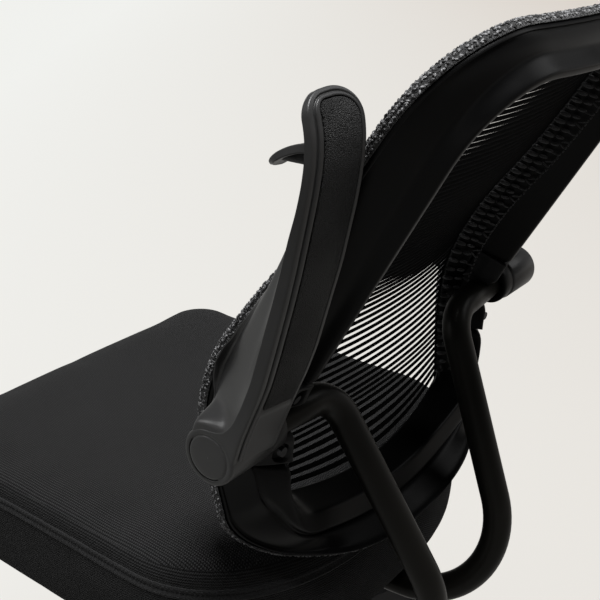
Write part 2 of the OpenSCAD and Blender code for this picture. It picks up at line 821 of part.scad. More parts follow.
module bracket() {
    color([0.09, 0.09, 0.095])
        difference() {
            union() {
                loft([
                    for (i = [0:bracket_steps])
                    [for (p = bracket_section(mix(notch_high - seat_gap, seat_gap - notch_low, i / bracket_steps))) on_back(p)]
                ]);
                rod_x(boss_x, arm_in - side_gap, pivot_back, pivot_z, hub_r - over);
            }
            face_slot(slot_up, slot_w, slot_l, slot_d);
            face_slot(-slot_low, slot_w, slot_l, slot_d);
            aim(tube_path[0], tube_path[1] - tube_path[0])
                translate([0, 0, -over])
                    cylinder(h = arm_in, r = tube_d / 2 + fit_gap);
        }
}

module bracket_screws() {
    head_r = 4.5;
    head_h = 4;
    color([0.6, 0.6, 0.62])
        for (s = [slot_up, -slot_low])
            translate(on_back([slot_x, s, 0]))
                rotate([-90 - lean_at(s), 0, 0])
                    translate([0, 0, -slot_d])
                        cylinder(h = head_h, r = head_r);
}

// mesh panel: one thin curved net with a solid edge strip and a row of ribs

rib_share = 0.5;
mesh_cols = 8;

module mesh_panel() {
    hw = mesh_hw - seat_gap;
    s0 = -mesh_down + seat_gap;
    s1 = mesh_up - seat_gap;
    pitch = (s1 - s0 - 2 * mesh_edge) / (mesh_gaps - rib_share);
    rows = concat([s0, s0 + mesh_edge], [for (i = [1:mesh_gaps - 1]) each [s0 + mesh_edge + (i - rib_share) * pitch, s0 + mesh_edge + i * pitch]], [s1 - mesh_edge, s1]);
    cols = concat([-hw], [for (j = [0:mesh_cols]) mix(mesh_edge - hw, hw - mesh_edge, j / mesh_cols)], [hw]);
    nr = len(rows);
    nc = len(cols);
    wide = [for (i = [0:nr - 1]) i == 0 || i == nr - 1 ? (hw - mesh_corner) / hw : 1];
    function solid(i, j) = i >= 0 && j >= 0 && i < nr - 1 && j < nc - 1 && (i % 2 == 0 || j == 0 || j == nc - 2);
    function id(i, j, f) = 2 * (i * nc + j) + f;
    color([0.04, 0.04, 0.045])
        polyhedron(
            points = [
                for (i = [0:nr - 1], j = [0:nc - 1], f = [1, -1])
                on_back(smiled([cols[j] * wide[i], rows[i], mesh_n(cols[j], rows[i]) + f * mesh_t / 2]))
            ],
            faces = [
                for (i = [0:nr - 2], j = [0:nc - 2])
                if (solid(i, j))
                each concat(
                    [
                        [id(i, j, 0), id(i, j + 1, 0), id(i + 1, j + 1, 0)], [id(i, j, 0), id(i + 1, j + 1, 0), id(i + 1, j, 0)],
                        [id(i, j, 1), id(i + 1, j + 1, 1), id(i, j + 1, 1)], [id(i, j, 1), id(i + 1, j, 1), id(i + 1, j + 1, 1)],
                    ],
                    solid(i - 1, j) ? [] : [[id(i, j, 0), id(i, j, 1), id(i, j + 1, 1)], [id(i, j, 0), id(i, j + 1, 1), id(i, j + 1, 0)]],
                    solid(i + 1, j) ? [] : [[id(i + 1, j, 0), id(i + 1, j + 1, 1), id(i + 1, j, 1)], [id(i + 1, j, 0), id(i + 1, j + 1, 0), id(i + 1, j + 1, 1)]],
                    solid(i, j - 1) ? [] : [[id(i, j, 0), id(i + 1, j, 1), id(i, j, 1)], [id(i, j, 0), id(i + 1, j, 0), id(i + 1, j, 1)]],
                    solid(i, j + 1) ? [] : [[id(i, j + 1, 0), id(i, j + 1, 1), id(i + 1, j + 1, 1)], [id(i, j + 1, 0), id(i + 1, j + 1, 1), id(i + 1, j + 1, 0)]]
                )
            ]
        );
}

// arms, drawn reaching along -Y and turned up by their angle

// shares of the arm's length against shares of the pad's rise
pad_line_shares = [[0.03, 0.8], [0.18, 0.87], [0.31, 1], [0.51, 1], [0.66, 0.93], [0.82, 0.86], [0.89, 0.73], [0.96, 0.5], [1, 0.32]];
under_line_shares = [[0.03, -0.7], [0.07, -0.45], [0.12, -0.12], [0.18, -0.08], [0.25, 0.05], [0.34, 0.22], [0.43, 0.37], [0.5, 0.46], [0.59, 0.56], [0.67, 0.63], [0.77, 0.63], [0.84, 0.6], [0.9, 0.47], [0.96, 0.18], [1, 0.12]];
arm_station_shares = [0.03, 0.06, 0.1, 0.15, 0.2, 0.26, 0.33, 0.4, 0.48, 0.56, 0.64, 0.72, 0.8, 0.86, 0.9, 0.93, 0.955, 0.975, 0.99, 1];
arm_stations = len(arm_station_shares);
tip_round = 22;
rim_w = 3;
groove_w = 1.3;
groove_d = 1.5;

function pad_p(t) = pad_rise * lookup(t, pad_line_shares);
function under_p(t) = pad_rise * lookup(t, under_line_shares);
// how far the arm's sides draw in near the tip
function tip_in(t) =
    let (d = (t - 1) * arm_len + tip_round)
    d <= 0 ? 0 : tip_round - sqrt(max(0, pow(tip_round, 2) - pow(min(d, tip_round), 2)));

// closed section of the blade at a share t of its length; the groove runs out at both ends
function arm_section(t) =
    let (
        c = tip_in(t), a = arm_in + c, b = arm_in + arm_w - c, p = pad_p(t), q = under_p(t), h = p - q, y = -t * arm_len,
        w = b - a, k = min(1, w / arm_w * 2), r = rim_w * k, g = groove_w * k, v = g / 4,
        e = t > arm_station_shares[0] && t < 1 ? groove_d * k : 0
    )
    [
        [a, y, p - 0.1 * h], [a + 0.02 * w, y, p], [a + r - v, y, p], [a + r + v, y, p - e], [a + r + g, y, p - e],
        [b - 2 * r - g - v, y, p - e], [b - 2 * r - g + v, y, p], [b - r - g - v, y, p], [b - r - g + v, y, p - e],
        [b - r - v, y, p - e], [b - r + v, y, p], [b - 0.02 * w, y, p], [b, y, p - 0.08 * h],
        [b, y, p - 0.34 * h], [b - 0.03 * w, y, p - 0.5 * h], [b - 0.14 * w, y, p - 0.74 * h], [b - 0.3 * w, y, p - 0.93 * h],
        [mix(a, b, 0.5), y, q], [mix(a, b, 0.3), y, q + 0.04 * h], [mix(a, b, 0.12), y, p - 0.8 * h], [a, y, p - 0.55 * h],
    ];

cap_t = 4;
pin_in = 40;

module arm_shape() {
    difference() {
        union() {
            loft([for (i = [1:arm_stations]) arm_section(arm_station_shares[arm_stations - i])]);
            rod_x(arm_in, arm_out - 1, 0, 0, hub_r);
        }
        rod_x(arm_out - 1 - cap_t, arm_out + over, 0, 0, cap_r + fit_gap);
        rod_x(arm_in - over, arm_in + pin_in + seat_gap, 0, 0, pivot_pin_d / 2 + fit_gap);
    }
}

module pad_shape() {
    r = rim_w;
    g = groove_w;
    first = 2;
    last = arm_stations - 3;
    color([0.12, 0.12, 0.125])
        loft([
            for (i = [last:-1:first])
            let (
                t = arm_station_shares[i], c = tip_in(t), a = arm_in + c + r + g / 2, b = arm_in + arm_w - c - 2 * r - 1.5 * g,
                p = pad_p(t), y = -t * arm_len, low = p - groove_d + seat_gap / 3, top = low + pad_t - over
            )
            [[a, y, low], [a, y, top - 0.5 * groove_d], [mix(a, b, 0.06), y, top], [mix(a, b, 0.5), y, top + 0.2 * groove_d], [mix(a, b, 0.94), y, top], [b, y, top - 0.5 * groove_d], [b, y, low]]
        ]);
}

module at_left_arm() {
    translate([0, pivot_back, pivot_z])
        rotate([-arm_low - arm_swing, 0, 0])
            children();
}

module at_right_arm() {
    translate([0, pivot_back, pivot_z])
        rotate([-arm_low, 0, 0])
            mirror([1, 0, 0])
                children();
}

module hub_cap() {
    color([0.13, 0.13, 0.135])
        rod_x(arm_out - 1 - cap_t + seat_gap / 3, arm_out, 0, 0, cap_r - seat_gap);
}

module arm_pin() {
    color([0.65, 0.65, 0.67])
        rod_x(arm_in - side_gap, arm_in + pin_in, pivot_back, pivot_z, pivot_pin_d / 2);
}

// seat

// height and inset of the side and top panels' levels: [share of the panel's height, share of the half width]
side_levels_shares = [[0, 0.08], [0.05, 0.035], [0.18, 0.008], [0.38, 0], [0.7, 0.004], [0.92, 0.008], [1, 0.008]];
top_levels_shares = [[0.35, 0.02], [0.64, 0.05], [0.84, 0.1], [0.955, 0.2], [1, 0.42]];
seam_share = 1 - seam_drop / cushion_t;
cushion_levels = concat(
    [for (l = side_levels_shares) [l[0] * seam_share, l[1]]],
    [for (l = top_levels_shares) [mix(seam_share, 1, l[0]), l[1]]]
);
plan_steps = 6;
rear_steps = 20;
crown_share = 0.012;

// the seat's outline, drawn in by d: straight sides, round front corners and an elliptic rear
function seat_plan(d) =
    let (hw = seat_hw - d, f = seat_front - d, r = max(seat_corner - d, seat_corner / 4), yr = seat_rear - seat_rear_d, b = seat_rear_d - d)
    concat(
        [for (i = [0:plan_steps]) let (a = 90 * i / plan_steps) [r - hw - r * cos(a), r - f - r * sin(a)]],
        [for (i = [0:plan_steps]) let (a = 90 * i / plan_steps) [hw - r + r * sin(a), r - f - r * cos(a)]],
        [[hw, mix(-f, yr, 0.35)], [hw, mix(-f, yr, 0.6)], [hw, mix(-f, yr, 0.8)]],
        [for (i = [0:rear_steps]) let (a = 180 * i / rear_steps) [hw * sign(cos(a)) * pow(abs(cos(a)), 0.75), yr + b * pow(sin(a), 0.95)]],
        [[-hw, mix(-f, yr, 0.8)], [-hw, mix(-f, yr, 0.6)], [-hw, mix(-f, yr, 0.35)]]
    );

module seat_cushion() {
    color([0.16, 0.16, 0.17])
        loft([
            for (l = cushion_levels)
            [for (p = seat_plan(l[1] * seat_hw)) [p[0], p[1], cushion_z + l[0] * cushion_t]]
        ]);
}

screw_r = 3;
screw_out = 10;
screw_places = [for (x = [-1, 1], y = [-1, 1]) [x * (housing_w / 2 + screw_out), y * plate_l * 0.4]];

module seat_pan() {
    color([0.05, 0.05, 0.055])
        difference() {
            translate([0, 0, pan_z])
                linear_extrude(pan_t)
                    polygon(seat_plan(pan_inset));
            for (p = screw_places)
                translate([p[0], p[1], pan_z - over])
                    cylinder(h = pan_t, r = screw_r + fit_gap);
        }
}

module seat_plate() {
    color([0.1, 0.1, 0.105])
        difference() {
            translate([0, 0, pan_z - plate_t])
                round_plate(plate_w, plate_l, plate_t, 4 * plate_t);
            for (p = screw_places)
                translate([p[0], p[1], pan_z - plate_t - over])
                    cylinder(h = plate_t + 2 * over, r = screw_r + fit_gap);
        }
}

module pan_screws() {
    head_h = 4;
    color([0.7, 0.7, 0.72])
        for (p = screw_places)
            translate([p[0], p[1], pan_z - plate_t - head_h])
                union() {
                    cylinder(h = head_h, r = 2 * screw_r);
                    cylinder(h = head_h + plate_t + pan_t / 2, r = screw_r);
                }
}

star_base();
lift_column();
lift_piston();
for (i = [1:legs]) {
    castor_body(i - 1);
    castor_axle(i - 1);
    castor_wheels(i - 1);
}
mechanism_housing();
tilt_pin();
lever_pin();
height_lever();
tension_knob();
seat_plate();
pan_screws();
seat_pan();
seat_cushion();
back_yoke();
back_tube();  // back_tube_left
mirror([1, 0, 0]) back_tube();  // back_tube_right
back_frame();
knit_border();
mesh_panel();
bracket();  // bracket_left
mirror([1, 0, 0]) bracket();  // bracket_right
bracket_screws();  // bracket_screws_left
mirror([1, 0, 0]) bracket_screws();  // bracket_screws_right
arm_pin();  // arm_pin_left
mirror([1, 0, 0]) arm_pin();  // arm_pin_right
color([0.11, 0.11, 0.115]) at_left_arm() arm_shape();  // arm_left
color([0.11, 0.11, 0.115]) at_right_arm() arm_shape();  // arm_right
at_left_arm() pad_shape();  // arm_pad_left
at_right_arm() pad_shape();  // arm_pad_right
at_left_arm() hub_cap();  // hub_cap_left
at_right_arm() hub_cap();  // hub_cap_right
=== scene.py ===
import math

import bmesh
import bpy
import numpy as np
from mathutils import Matrix, Vector
from mathutils.bvhtree import BVHTree


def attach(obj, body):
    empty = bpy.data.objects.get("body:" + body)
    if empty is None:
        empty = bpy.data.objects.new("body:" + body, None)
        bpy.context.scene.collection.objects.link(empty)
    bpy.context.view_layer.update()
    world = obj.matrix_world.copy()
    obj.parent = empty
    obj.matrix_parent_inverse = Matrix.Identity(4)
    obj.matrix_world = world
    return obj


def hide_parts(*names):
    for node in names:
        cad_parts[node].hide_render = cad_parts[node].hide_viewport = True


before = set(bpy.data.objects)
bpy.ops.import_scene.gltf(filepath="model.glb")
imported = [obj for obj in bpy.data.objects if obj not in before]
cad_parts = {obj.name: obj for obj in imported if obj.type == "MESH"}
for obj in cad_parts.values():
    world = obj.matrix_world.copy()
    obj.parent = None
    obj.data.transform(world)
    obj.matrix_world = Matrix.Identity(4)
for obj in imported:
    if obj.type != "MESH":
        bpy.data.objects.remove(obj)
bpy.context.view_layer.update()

# Camera
# The photograph's own viewpoint: behind the chair, on the sitter's left and above the arms, and so
# close that the base and the seat's front corner are outside the picture.
camera_azimuth, camera_elevation, camera_roll = (math.radians(a) for a in (126.767, 23.054, 0.960))
toward_camera = Vector((
    math.sin(camera_azimuth) * math.cos(camera_elevation),
    -math.cos(camera_azimuth) * math.cos(camera_elevation),
    math.sin(camera_elevation),
))
level_right = Vector((math.cos(camera_azimuth), math.sin(camera_azimuth), 0))
level_up = toward_camera.cross(level_right)
frame_right = level_right * math.cos(camera_roll) + level_up * math.sin(camera_roll)
frame_up = level_up * math.cos(camera_roll) - level_right * math.sin(camera_roll)
camera = bpy.data.objects.new("camera", bpy.data.cameras.new("camera"))
camera.data.lens = 59.405
camera.data.sensor_width = 36
camera.data.clip_end = 60
camera.matrix_world = Matrix((frame_right, frame_up, toward_camera)).transposed().to_4x4()
camera.matrix_world.translation = (0.7577, 0.6714, 1.0380)
bpy.context.scene.collection.objects.link(camera)
bpy.context.scene.camera = camera


# Studio
# A pale paper floor under a pale world, and three soft round lamps: the strongest overhead and a
# little behind the chair, one at the sitter's front left, and a weak one behind on the right.
class Link:
    """One output of a material's nodes. Sums on it add the nodes that work them out."""

    def __init__(self, tree, socket=None):
        self.tree = tree
        self.socket = socket

    def node(self, kind, settings=None, inputs=None, output=0):
        made = self.tree.nodes.new(kind)
        for key, value in (settings or {}).items():
            if key == "stops":
                ramp = made.color_ramp
                while len(ramp.elements) < len(value):
                    ramp.elements.new(0.5)
                for element, (place, level) in zip(ramp.elements, value):
                    element.position = place
                    element.color = (level, level, level, 1)
            else:
                setattr(made, key, value)
        for key, value in (inputs or {}).items():
            self.feed(made, key, value)
        return Link(self.tree, made.outputs[output])

    def feed(self, made, key, value):
        if isinstance(value, Link):
            self.tree.links.new(value.socket, made.inputs[key])
        else:
            made.inputs[key].default_value = value

    def sum(self, operation, *values):
        return self.node("ShaderNodeMath", {"operation": operation}, dict(enumerate(values)))

    def __abs__(self):
        return self.sum("ABSOLUTE", self)

    def __add__(self, other):
        return self.sum("ADD", self, other)

    def __sub__(self, other):
        return self.sum("SUBTRACT", self, other)

    def __rsub__(self, other):
        return self.sum("SUBTRACT", other, self)

    def __mul__(self, other):
        return self.sum("MULTIPLY", self, other)

    def __pow__(self, other):
        return self.sum("POWER", self, other)

    def __gt__(self, other):
        return self.sum("GREATER_THAN", self, other)

    __radd__ = __add__
    __rmul__ = __mul__

    def sine(self):
        return self.sum("SINE", self)

    def wave(self):
        """Sine of a phase, from 0 to 1."""
        return self.sine() * 0.5 + 0.5

    def axes(self):
        parts = self.node("ShaderNodeSeparateXYZ", None, {0: self})
        outputs = parts.socket.node.outputs
        return [Link(self.tree, outputs[i]) for i in range(3)]

    def noise(self, scale, detail=2.0, stretch=(1, 1, 1)):
        place = self.node("ShaderNodeMapping", None, {"Vector": self, "Scale": stretch})
        inputs = {"Vector": place, "Scale": scale, "Detail": detail}
        return self.node("ShaderNodeTexNoise", None, inputs)

    def cells(self, scale):
        return self.node("ShaderNodeTexVoronoi", None, {"Vector": self, "Scale": scale})

    def between(self, low, high, colour_low, colour_high):
        """Colour that goes from one to another as this value goes from low to high."""
        limits = {"Value": self, "From Min": low, "From Max": high}
        share = self.node("ShaderNodeMapRange", None, limits)
        colours = {0: share, 6: (*colour_low, 1), 7: (*colour_high, 1)}
        return self.node("ShaderNodeMix", {"data_type": "RGBA"}, colours, 2)

    def bump(self, distance):
        inputs = {"Height": self, "Distance": distance, "Strength": 1.0}
        return self.node("ShaderNodeBump", None, inputs)


def new_finish(name, colour, roughness, metallic=0.0, specular=0.5, coat=0.0, sheen=0.0,
               sheen_roughness=0.5):
    """Material of one even colour, its shader, and the place on the piece for its patterns."""
    material = bpy.data.materials.new(name)
    material.use_nodes = True
    material.diffuse_color = (*colour, 1)
    shader = material.node_tree.nodes["Principled BSDF"]
    for key, value in {
        "Base Color": (*colour, 1), "Roughness": roughness, "Metallic": metallic,
        "Specular IOR Level": specular, "Coat Weight": coat, "Coat Roughness": 0.2,
        "Sheen Weight": sheen, "Sheen Roughness": sheen_roughness,
    }.items():
        shader.inputs[key].default_value = value
    place = Link(material.node_tree).node("ShaderNodeTexCoord", None, None, 3)
    return material, shader, place


def seen_share(tree, mirrored_share):
    """1 where the camera looks straight or through glass, less in a mirror, 0 for the lighting."""
    outputs = Link(tree).node("ShaderNodeLightPath").socket.node.outputs
    straight, through, mirrored = (
        Link(tree, outputs[f"Is {kind} Ray"]) for kind in ("Camera", "Transmission", "Glossy")
    )
    unmirrored = straight.sum("MAXIMUM", straight, through)
    return unmirrored.sum("MAXIMUM", unmirrored, mirrored * mirrored_share)


floor_radius = 14
paper_glow_share, paper_mirrored = 0.875, 0.45
paper, paper_shader, paper_place = new_finish(
    "floor_paper", (0.22, 0.218, 0.212), 0.9, specular=0.1,
)
paper_cloud = paper_place.noise(0.6)
paper_place.feed(paper_shader, "Base Color", paper_cloud.between(
    0.3, 0.7, (0.21, 0.208, 0.202), (0.23, 0.228, 0.222),
))
floor_across, floor_along, _ = paper_place.axes()
far_side = floor_along * 0.8 - floor_across * 0.6
paper_glow = paper_place.node("ShaderNodeEmission", None, {
    "Color": far_side.between(-1.5, 3.0, (1.0, 1.005, 0.975), (0.80, 0.735, 0.67)),
    "Strength": 1.0,
})
paper_mixed = paper_place.node("ShaderNodeMixShader", None, {
    0: seen_share(paper.node_tree, paper_mirrored) * paper_glow_share,
    1: Link(paper.node_tree, paper_shader.outputs[0]),
    2: paper_glow,
})
paper_place.feed(paper.node_tree.nodes["Material Output"], "Surface", paper_mixed)
bpy.ops.mesh.primitive_circle_add(vertices=96, radius=floor_radius, fill_type="NGON")
floor = bpy.context.object
floor.name = "floor"
floor.data.materials.append(paper)

world = bpy.data.worlds.new("studio")
world.use_nodes = True
bpy.context.scene.world = world
sky = Link(world.node_tree)
rise = sky.node("ShaderNodeTexCoord").axes()[2]
room_light = sky.node("ShaderNodeBackground", None, {
    "Color": (0.95, 0.97, 1.0, 1), "Strength": 0.05,
})
room_seen = sky.node("ShaderNodeBackground", None, {
    "Color": rise.between(0.03, 0.30, (0.8, 0.78, 0.75), (0.04, 0.04, 0.04)), "Strength": 1.0,
})
whole_sky = sky.node("ShaderNodeMixShader", None, {
    0: seen_share(world.node_tree, 1.0), 1: room_light, 2: room_seen,
})
sky.feed(world.node_tree.nodes["World Output"], "Surface", whole_sky)

# name, place, aim, width in metres and watts of each lamp
lamps = (
    ("lamp_overhead", (0.35, 0.55, 2.6), (0, 0, 0.6), 0.9, 66),
    ("lamp_side", (2.2, -1.8, 1.7), (0, 0, 0.6), 0.9, 20),
    ("lamp_behind", (-1.3, 1.4, 2.3), (0, 0.2, 0.6), 1.3, 9),
)
for lamp_name, spot, aim, size, power in lamps:
    lamp = bpy.data.objects.new(lamp_name, bpy.data.lights.new(lamp_name, "AREA"))
    lamp.data.shape = "DISK"
    lamp.data.size = size
    lamp.data.energy = power
    lamp.location = spot
    lamp.rotation_euler = (Vector(aim) - Vector(spot)).to_track_quat("-Z", "Y").to_euler()
    bpy.context.scene.collection.objects.link(lamp)


# Base, castors and lift
# A moulded black nylon star with satin grain on five twin-wheel castors, and a painted gas lift
# with a bright piston that carries the seat. The solids keep their shapes.
def shades(colour, *shares):
    """The same colour darker and lighter, by shares of its own level."""
    return [tuple(part * share for part in colour) for share in shares]


def moulded(name, colour, roughness, grain=1400.0, depth=0.00004, coat=0.0, specular=0.14):
    """Injection-moulded plastic: fine grain, faint flow marks and rubbed patches."""
    material, shader, place = new_finish(name, colour, roughness, coat=coat, specular=specular)
    flow = place.noise(26, 3.0)
    fine = place.noise(grain)
    place.feed(shader, "Base Color", flow.between(0.3, 0.7, *shades(colour, 0.82, 1.2)))
    place.feed(shader, "Roughness", flow * 0.16 + fine * 0.08 + (roughness - 0.12))
    place.feed(shader, "Normal", fine.bump(depth))
    return material


def painted(name, colour, roughness, specular=0.18):
    """Powder-coated steel: a thin even skin with a soft orange-peel surface."""
    material, shader, place = new_finish(name, colour, roughness, metallic=0.15, specular=specular)
    peel = place.noise(620, 1.0)
    cloud = place.noise(14)
    place.feed(shader, "Base Color", cloud.between(0.3, 0.7, *shades(colour, 0.88, 1.12)))
    place.feed(shader, "Roughness", cloud * 0.12 + peel * 0.05 + (roughness - 0.085))
    place.feed(shader, "Normal", peel.bump(0.00006))
    return material


def dress(node, material):
    """Gives a CAD solid that keeps its shape a finish of its own."""
    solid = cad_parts[node]
    solid.data.materials.clear()
    solid.data.materials.append(material)


base_nylon = moulded("base_nylon", (0.022, 0.022, 0.024), 0.48, grain=900, depth=0.00007)
castor_nylon = moulded("castor_nylon", (0.018, 0.018, 0.02), 0.4)
wheel_rubber = moulded("wheel_rubber", (0.03, 0.03, 0.031), 0.62, grain=700, depth=0.00008)
lift_paint = painted("lift_paint", (0.02, 0.02, 0.021), 0.36)
housing_paint = painted("housing_paint", (0.022, 0.022, 0.022), 0.5)
bright_steel, steel_shader, steel_place = new_finish(
    "bright_steel", (0.62, 0.62, 0.64), 0.2, metallic=1.0,
)
turning_marks = steel_place.noise(90, stretch=(1, 1, 40))
steel_place.feed(steel_shader, "Roughness", turning_marks * 0.18 + 0.12)
steel_place.feed(steel_shader, "Normal", turning_marks.bump(0.00001))
dress("star_base", base_nylon)
dress("lift_column", lift_paint)
dress("lift_piston", bright_steel)
for i in range(1, 6):
    dress(f"castor_body_{i}", castor_nylon)
    dress(f"castor_axle_{i}", bright_steel)
    dress(f"castor_wheels_{i}", wheel_rubber)


# Tilt mechanism
# A pressed and painted housing under the seat with a fluted tension knob, a height lever with a
# flat paddle, a yoke for the back tubes and bright pins. The solids keep their shapes.
pan_board = moulded("pan_board", (0.016, 0.016, 0.017), 0.62, grain=500, depth=0.0001)
dress("seat_pan", pan_board)
for node in ("mechanism_housing", "seat_plate", "back_yoke"):
    dress(node, housing_paint)
for node in ("height_lever", "tension_knob"):
    dress(node, castor_nylon)
for node in ("tilt_pin", "lever_pin", "pan_screws", "arm_pin_left", "arm_pin_right"):
    dress(node, bright_steel)
for node in ("bracket_screws_left", "bracket_screws_right"):
    dress(node, lift_paint)


# Seat cushion
# Foam in a tight woven cover: a flat top panel, a sewn band with two rows of stitches round its
# edge, and a side panel that turns under to the pan.
def finish_mesh(piece, melt=0.0):
    """Melts points closer than melt into one, turns every face outwards and shades it smooth."""
    shape = bmesh.new()
    shape.from_mesh(piece.data)
    if melt:
        bmesh.ops.remove_doubles(shape, verts=shape.verts, dist=melt)
    bmesh.ops.recalc_face_normals(shape, faces=shape.faces)
    shape.to_mesh(piece.data)
    shape.free()
    piece.data.polygons.foreach_set("use_smooth", [True] * len(piece.data.polygons))


def new_piece(name, points, faces, material=None):
    """Piece from points in metres and faces that name them by number."""
    mesh = bpy.data.meshes.new(name)
    mesh.from_pydata([tuple(point) for point in points], [], faces)
    piece = bpy.data.objects.new(name, mesh)
    bpy.context.scene.collection.objects.link(piece)
    finish_mesh(piece)
    if material is not None:
        mesh.materials.append(material)
    return piece


def lay(name, rows, closed=(False, False), ends=(False, False), material=None):
    """Piece through a grid of points. closed says if the rows, and the points in a row, run round.

    ends closes the first and the last of an open run of rows with a fan.
    """
    rows = np.asarray(rows, float)
    n, m = rows.shape[:2]
    points = list(rows.reshape(-1, 3))
    faces = []
    for k in range(n if closed[0] else n - 1):
        for j in range(m if closed[1] else m - 1):
            k2, j2 = (k + 1) % n, (j + 1) % m
            faces.append((k * m + j, k * m + j2, k2 * m + j2, k2 * m + j))
    for end, k in ((ends[0], 0), (ends[1], n - 1)):
        if end:
            points.append(rows[k].mean(0))
            for j in range(m):
                edge = (k * m + j, k * m + (j + 1) % m)
                faces.append((len(points) - 1, *(edge[::-1] if k == 0 else edge)))
    return new_piece(name, points, faces, material)


def keep_result(piece):
    """Takes what the piece's modifiers make of it as its mesh, and drops them."""
    result = piece.evaluated_get(bpy.context.evaluated_depsgraph_get())
    mesh = bpy.data.meshes.new_from_object(result)
    piece.modifiers.clear()
    piece.data = mesh


def change(piece, kind, **settings):
    """Adds a modifier to a piece and applies it."""
    modifier = piece.modifiers.new(kind.lower(), kind)
    for key, value in settings.items():
        setattr(modifier, key, value)
    bpy.context.view_layer.update()
    keep_result(piece)


def subdivide(piece, levels):
    change(piece, "SUBSURF", levels=levels, render_levels=levels)


def points_of(piece):
    flat = np.zeros(len(piece.data.vertices) * 3)
    piece.data.vertices.foreach_get("co", flat)
    return flat.reshape(-1, 3)


def move_points(piece, points):
    piece.data.vertices.foreach_set("co", np.asarray(points, float).ravel())
    piece.data.update()


seat_half, seat_front, seat_rear, seat_rear_depth = 0.251, 0.277, 0.248, 0.155
seat_corner = 0.058
seat_low, seat_high = 0.332, 0.460
seam_height = 0.428


def seat_plan(inset):
    """Outline from above, drawn in by an inset: round front corners and a curved rear."""
    steps = 24
    half, front = seat_half - inset, seat_front - inset
    radius = max(seat_corner - inset, seat_corner / 4)
    turn = seat_rear - seat_rear_depth
    depth = seat_rear_depth - inset
    quarter = np.linspace(0, math.pi / 2, steps // 2)
    left = [
        (radius - half - radius * math.cos(a), radius - front - radius * math.sin(a))
        for a in quarter
    ]
    right = [
        (half - radius + radius * math.sin(a), radius - front - radius * math.cos(a))
        for a in quarter
    ]
    middle = [(x, -front) for x in np.linspace(radius - half, half - radius, 2 * steps)[1:-1]]
    side = [(half, y) for y in np.linspace(radius - front, turn, 2 * steps)[1:-1]]
    back = [
        (
            half * math.copysign(abs(math.cos(a)) ** 0.75, math.cos(a)),
            turn + depth * abs(math.sin(a)) ** 0.95,
        )
        for a in np.linspace(0, math.pi, 4 * steps)
    ]
    return np.array(left + middle + right + side + back + [(-x, y) for x, y in side[::-1]])


def even(loop, count):
    """The same closed loop, with count points evenly spaced along it."""
    ring = np.vstack([loop, loop[:1]])
    reach = np.concatenate([[0], np.cumsum(np.linalg.norm(np.diff(ring, axis=0), axis=1))])
    at = np.linspace(0, reach[-1], count, endpoint=False)
    return np.stack([np.interp(at, reach, ring[:, i]) for i in range(ring.shape[1])], -1)


# share of the cushion's height, and how far the outline is drawn in there, in metres
cushion_levels = (
    (0, 0.014), (0.03, 0.007), (0.1, 0.002), (0.25, 0), (0.4, 0), (0.55, 0.0005),
    (0.68, 0.001), (0.73, 0.0015), (0.77, 0.002), (0.82, 0.0024), (0.88, 0.004),
    (0.93, 0.0075), (0.96, 0.012), (0.98, 0.020), (0.992, 0.036), (0.997, 0.065),
    (1.0, 0.11), (1.0, 0.17),
)
cushion_rows = [
    [(x, y, seat_low + share * (seat_high - seat_low)) for x, y in even(seat_plan(inset), 260)]
    for share, inset in cushion_levels
]
cushion = lay("seat_cushion_cover", cushion_rows, closed=(False, True), ends=(True, True))


def puff(piece, voxel, pressure, cap, shrink):
    """Swells a cover from inside with Blender's cloth, moving no point further than cap."""
    change(piece, "REMESH", mode="VOXEL", voxel_size=voxel)
    start = points_of(piece)
    normals = np.array([v.normal for v in piece.data.vertices])
    start = start - normals * shrink
    move_points(piece, start)
    cloth = piece.modifiers.new("cloth", "CLOTH")
    cloth.settings.use_pressure = True
    cloth.settings.uniform_pressure_force = pressure
    cloth.settings.effector_weights.gravity = 0
    cloth.settings.quality = 5
    scene = bpy.context.scene
    scene.frame_start, scene.frame_end = 1, 20
    for number in range(scene.frame_start, scene.frame_end + 1):
        scene.frame_set(number)
    keep_result(piece)
    scene.frame_set(1)
    move = points_of(piece) - start
    far = np.linalg.norm(move, axis=1, keepdims=True)
    move_points(piece, start + move * np.minimum(1, cap / np.maximum(far, 1e-9)))


puff(cushion, voxel=0.006, pressure=4.0, cap=0.005, shrink=0.0015)
change(cushion, "SMOOTH", factor=0.5, iterations=6)
seam_pinch, seam_spread = 0.0009, 0.0045
held = points_of(cushion)
held[:, 2] = np.clip(held[:, 2], seat_low + 0.0005, seat_high + 0.004)
pinch = np.exp(-(((held[:, 2] - seam_height) / seam_spread) ** 2)) * seam_pinch
outward = np.array([v.normal for v in cushion.data.vertices])
held -= outward * pinch[:, None]
move_points(cushion, held)
subdivide(cushion, 1)
finish_mesh(cushion)

# dots of warp and weft on the top, slanting lines on the sides, where the cloth turns; the sides
# are also painted darker than the top, as painted shade
thread_pitch = 0.0025
seat_cloth, cloth_shader, cloth_place = new_finish(
    "seat_cloth", (0.03, 0.03, 0.031), 0.95, specular=0.12, sheen=0.04, sheen_roughness=0.6,
)
threads = 2 * math.pi / thread_pitch
across, along, up = cloth_place.axes()
faces_up = cloth_place.node("ShaderNodeNewGeometry", None, None, 1).axes()[2]
top_share = abs(faces_up) > 0.7
warp = (across * threads).wave()
weft = (along * threads + (across * (threads / 2)).sine() * 1.2).wave()
dots = (warp * weft) ** 0.6
lines = (up * (threads * 0.95) + ((across - along) * (threads * 0.8)).sine() * 0.9).wave()
weave = top_share * dots + (1 - top_share) * lines
fuzz = cloth_place.noise(1500)
patches = cloth_place.noise(9, 3.0)
# painted shade: faces that do not face up or down take 0.72 of the top's colour
tone = (weave * 0.75 + fuzz * 0.25 + patches * 0.12) * (0.72 + 0.28 * top_share)
cloth_place.feed(cloth_shader, "Base Color", tone.between(
    0.2, 0.9, (0.001, 0.001, 0.0011), (0.034, 0.034, 0.0345),
))
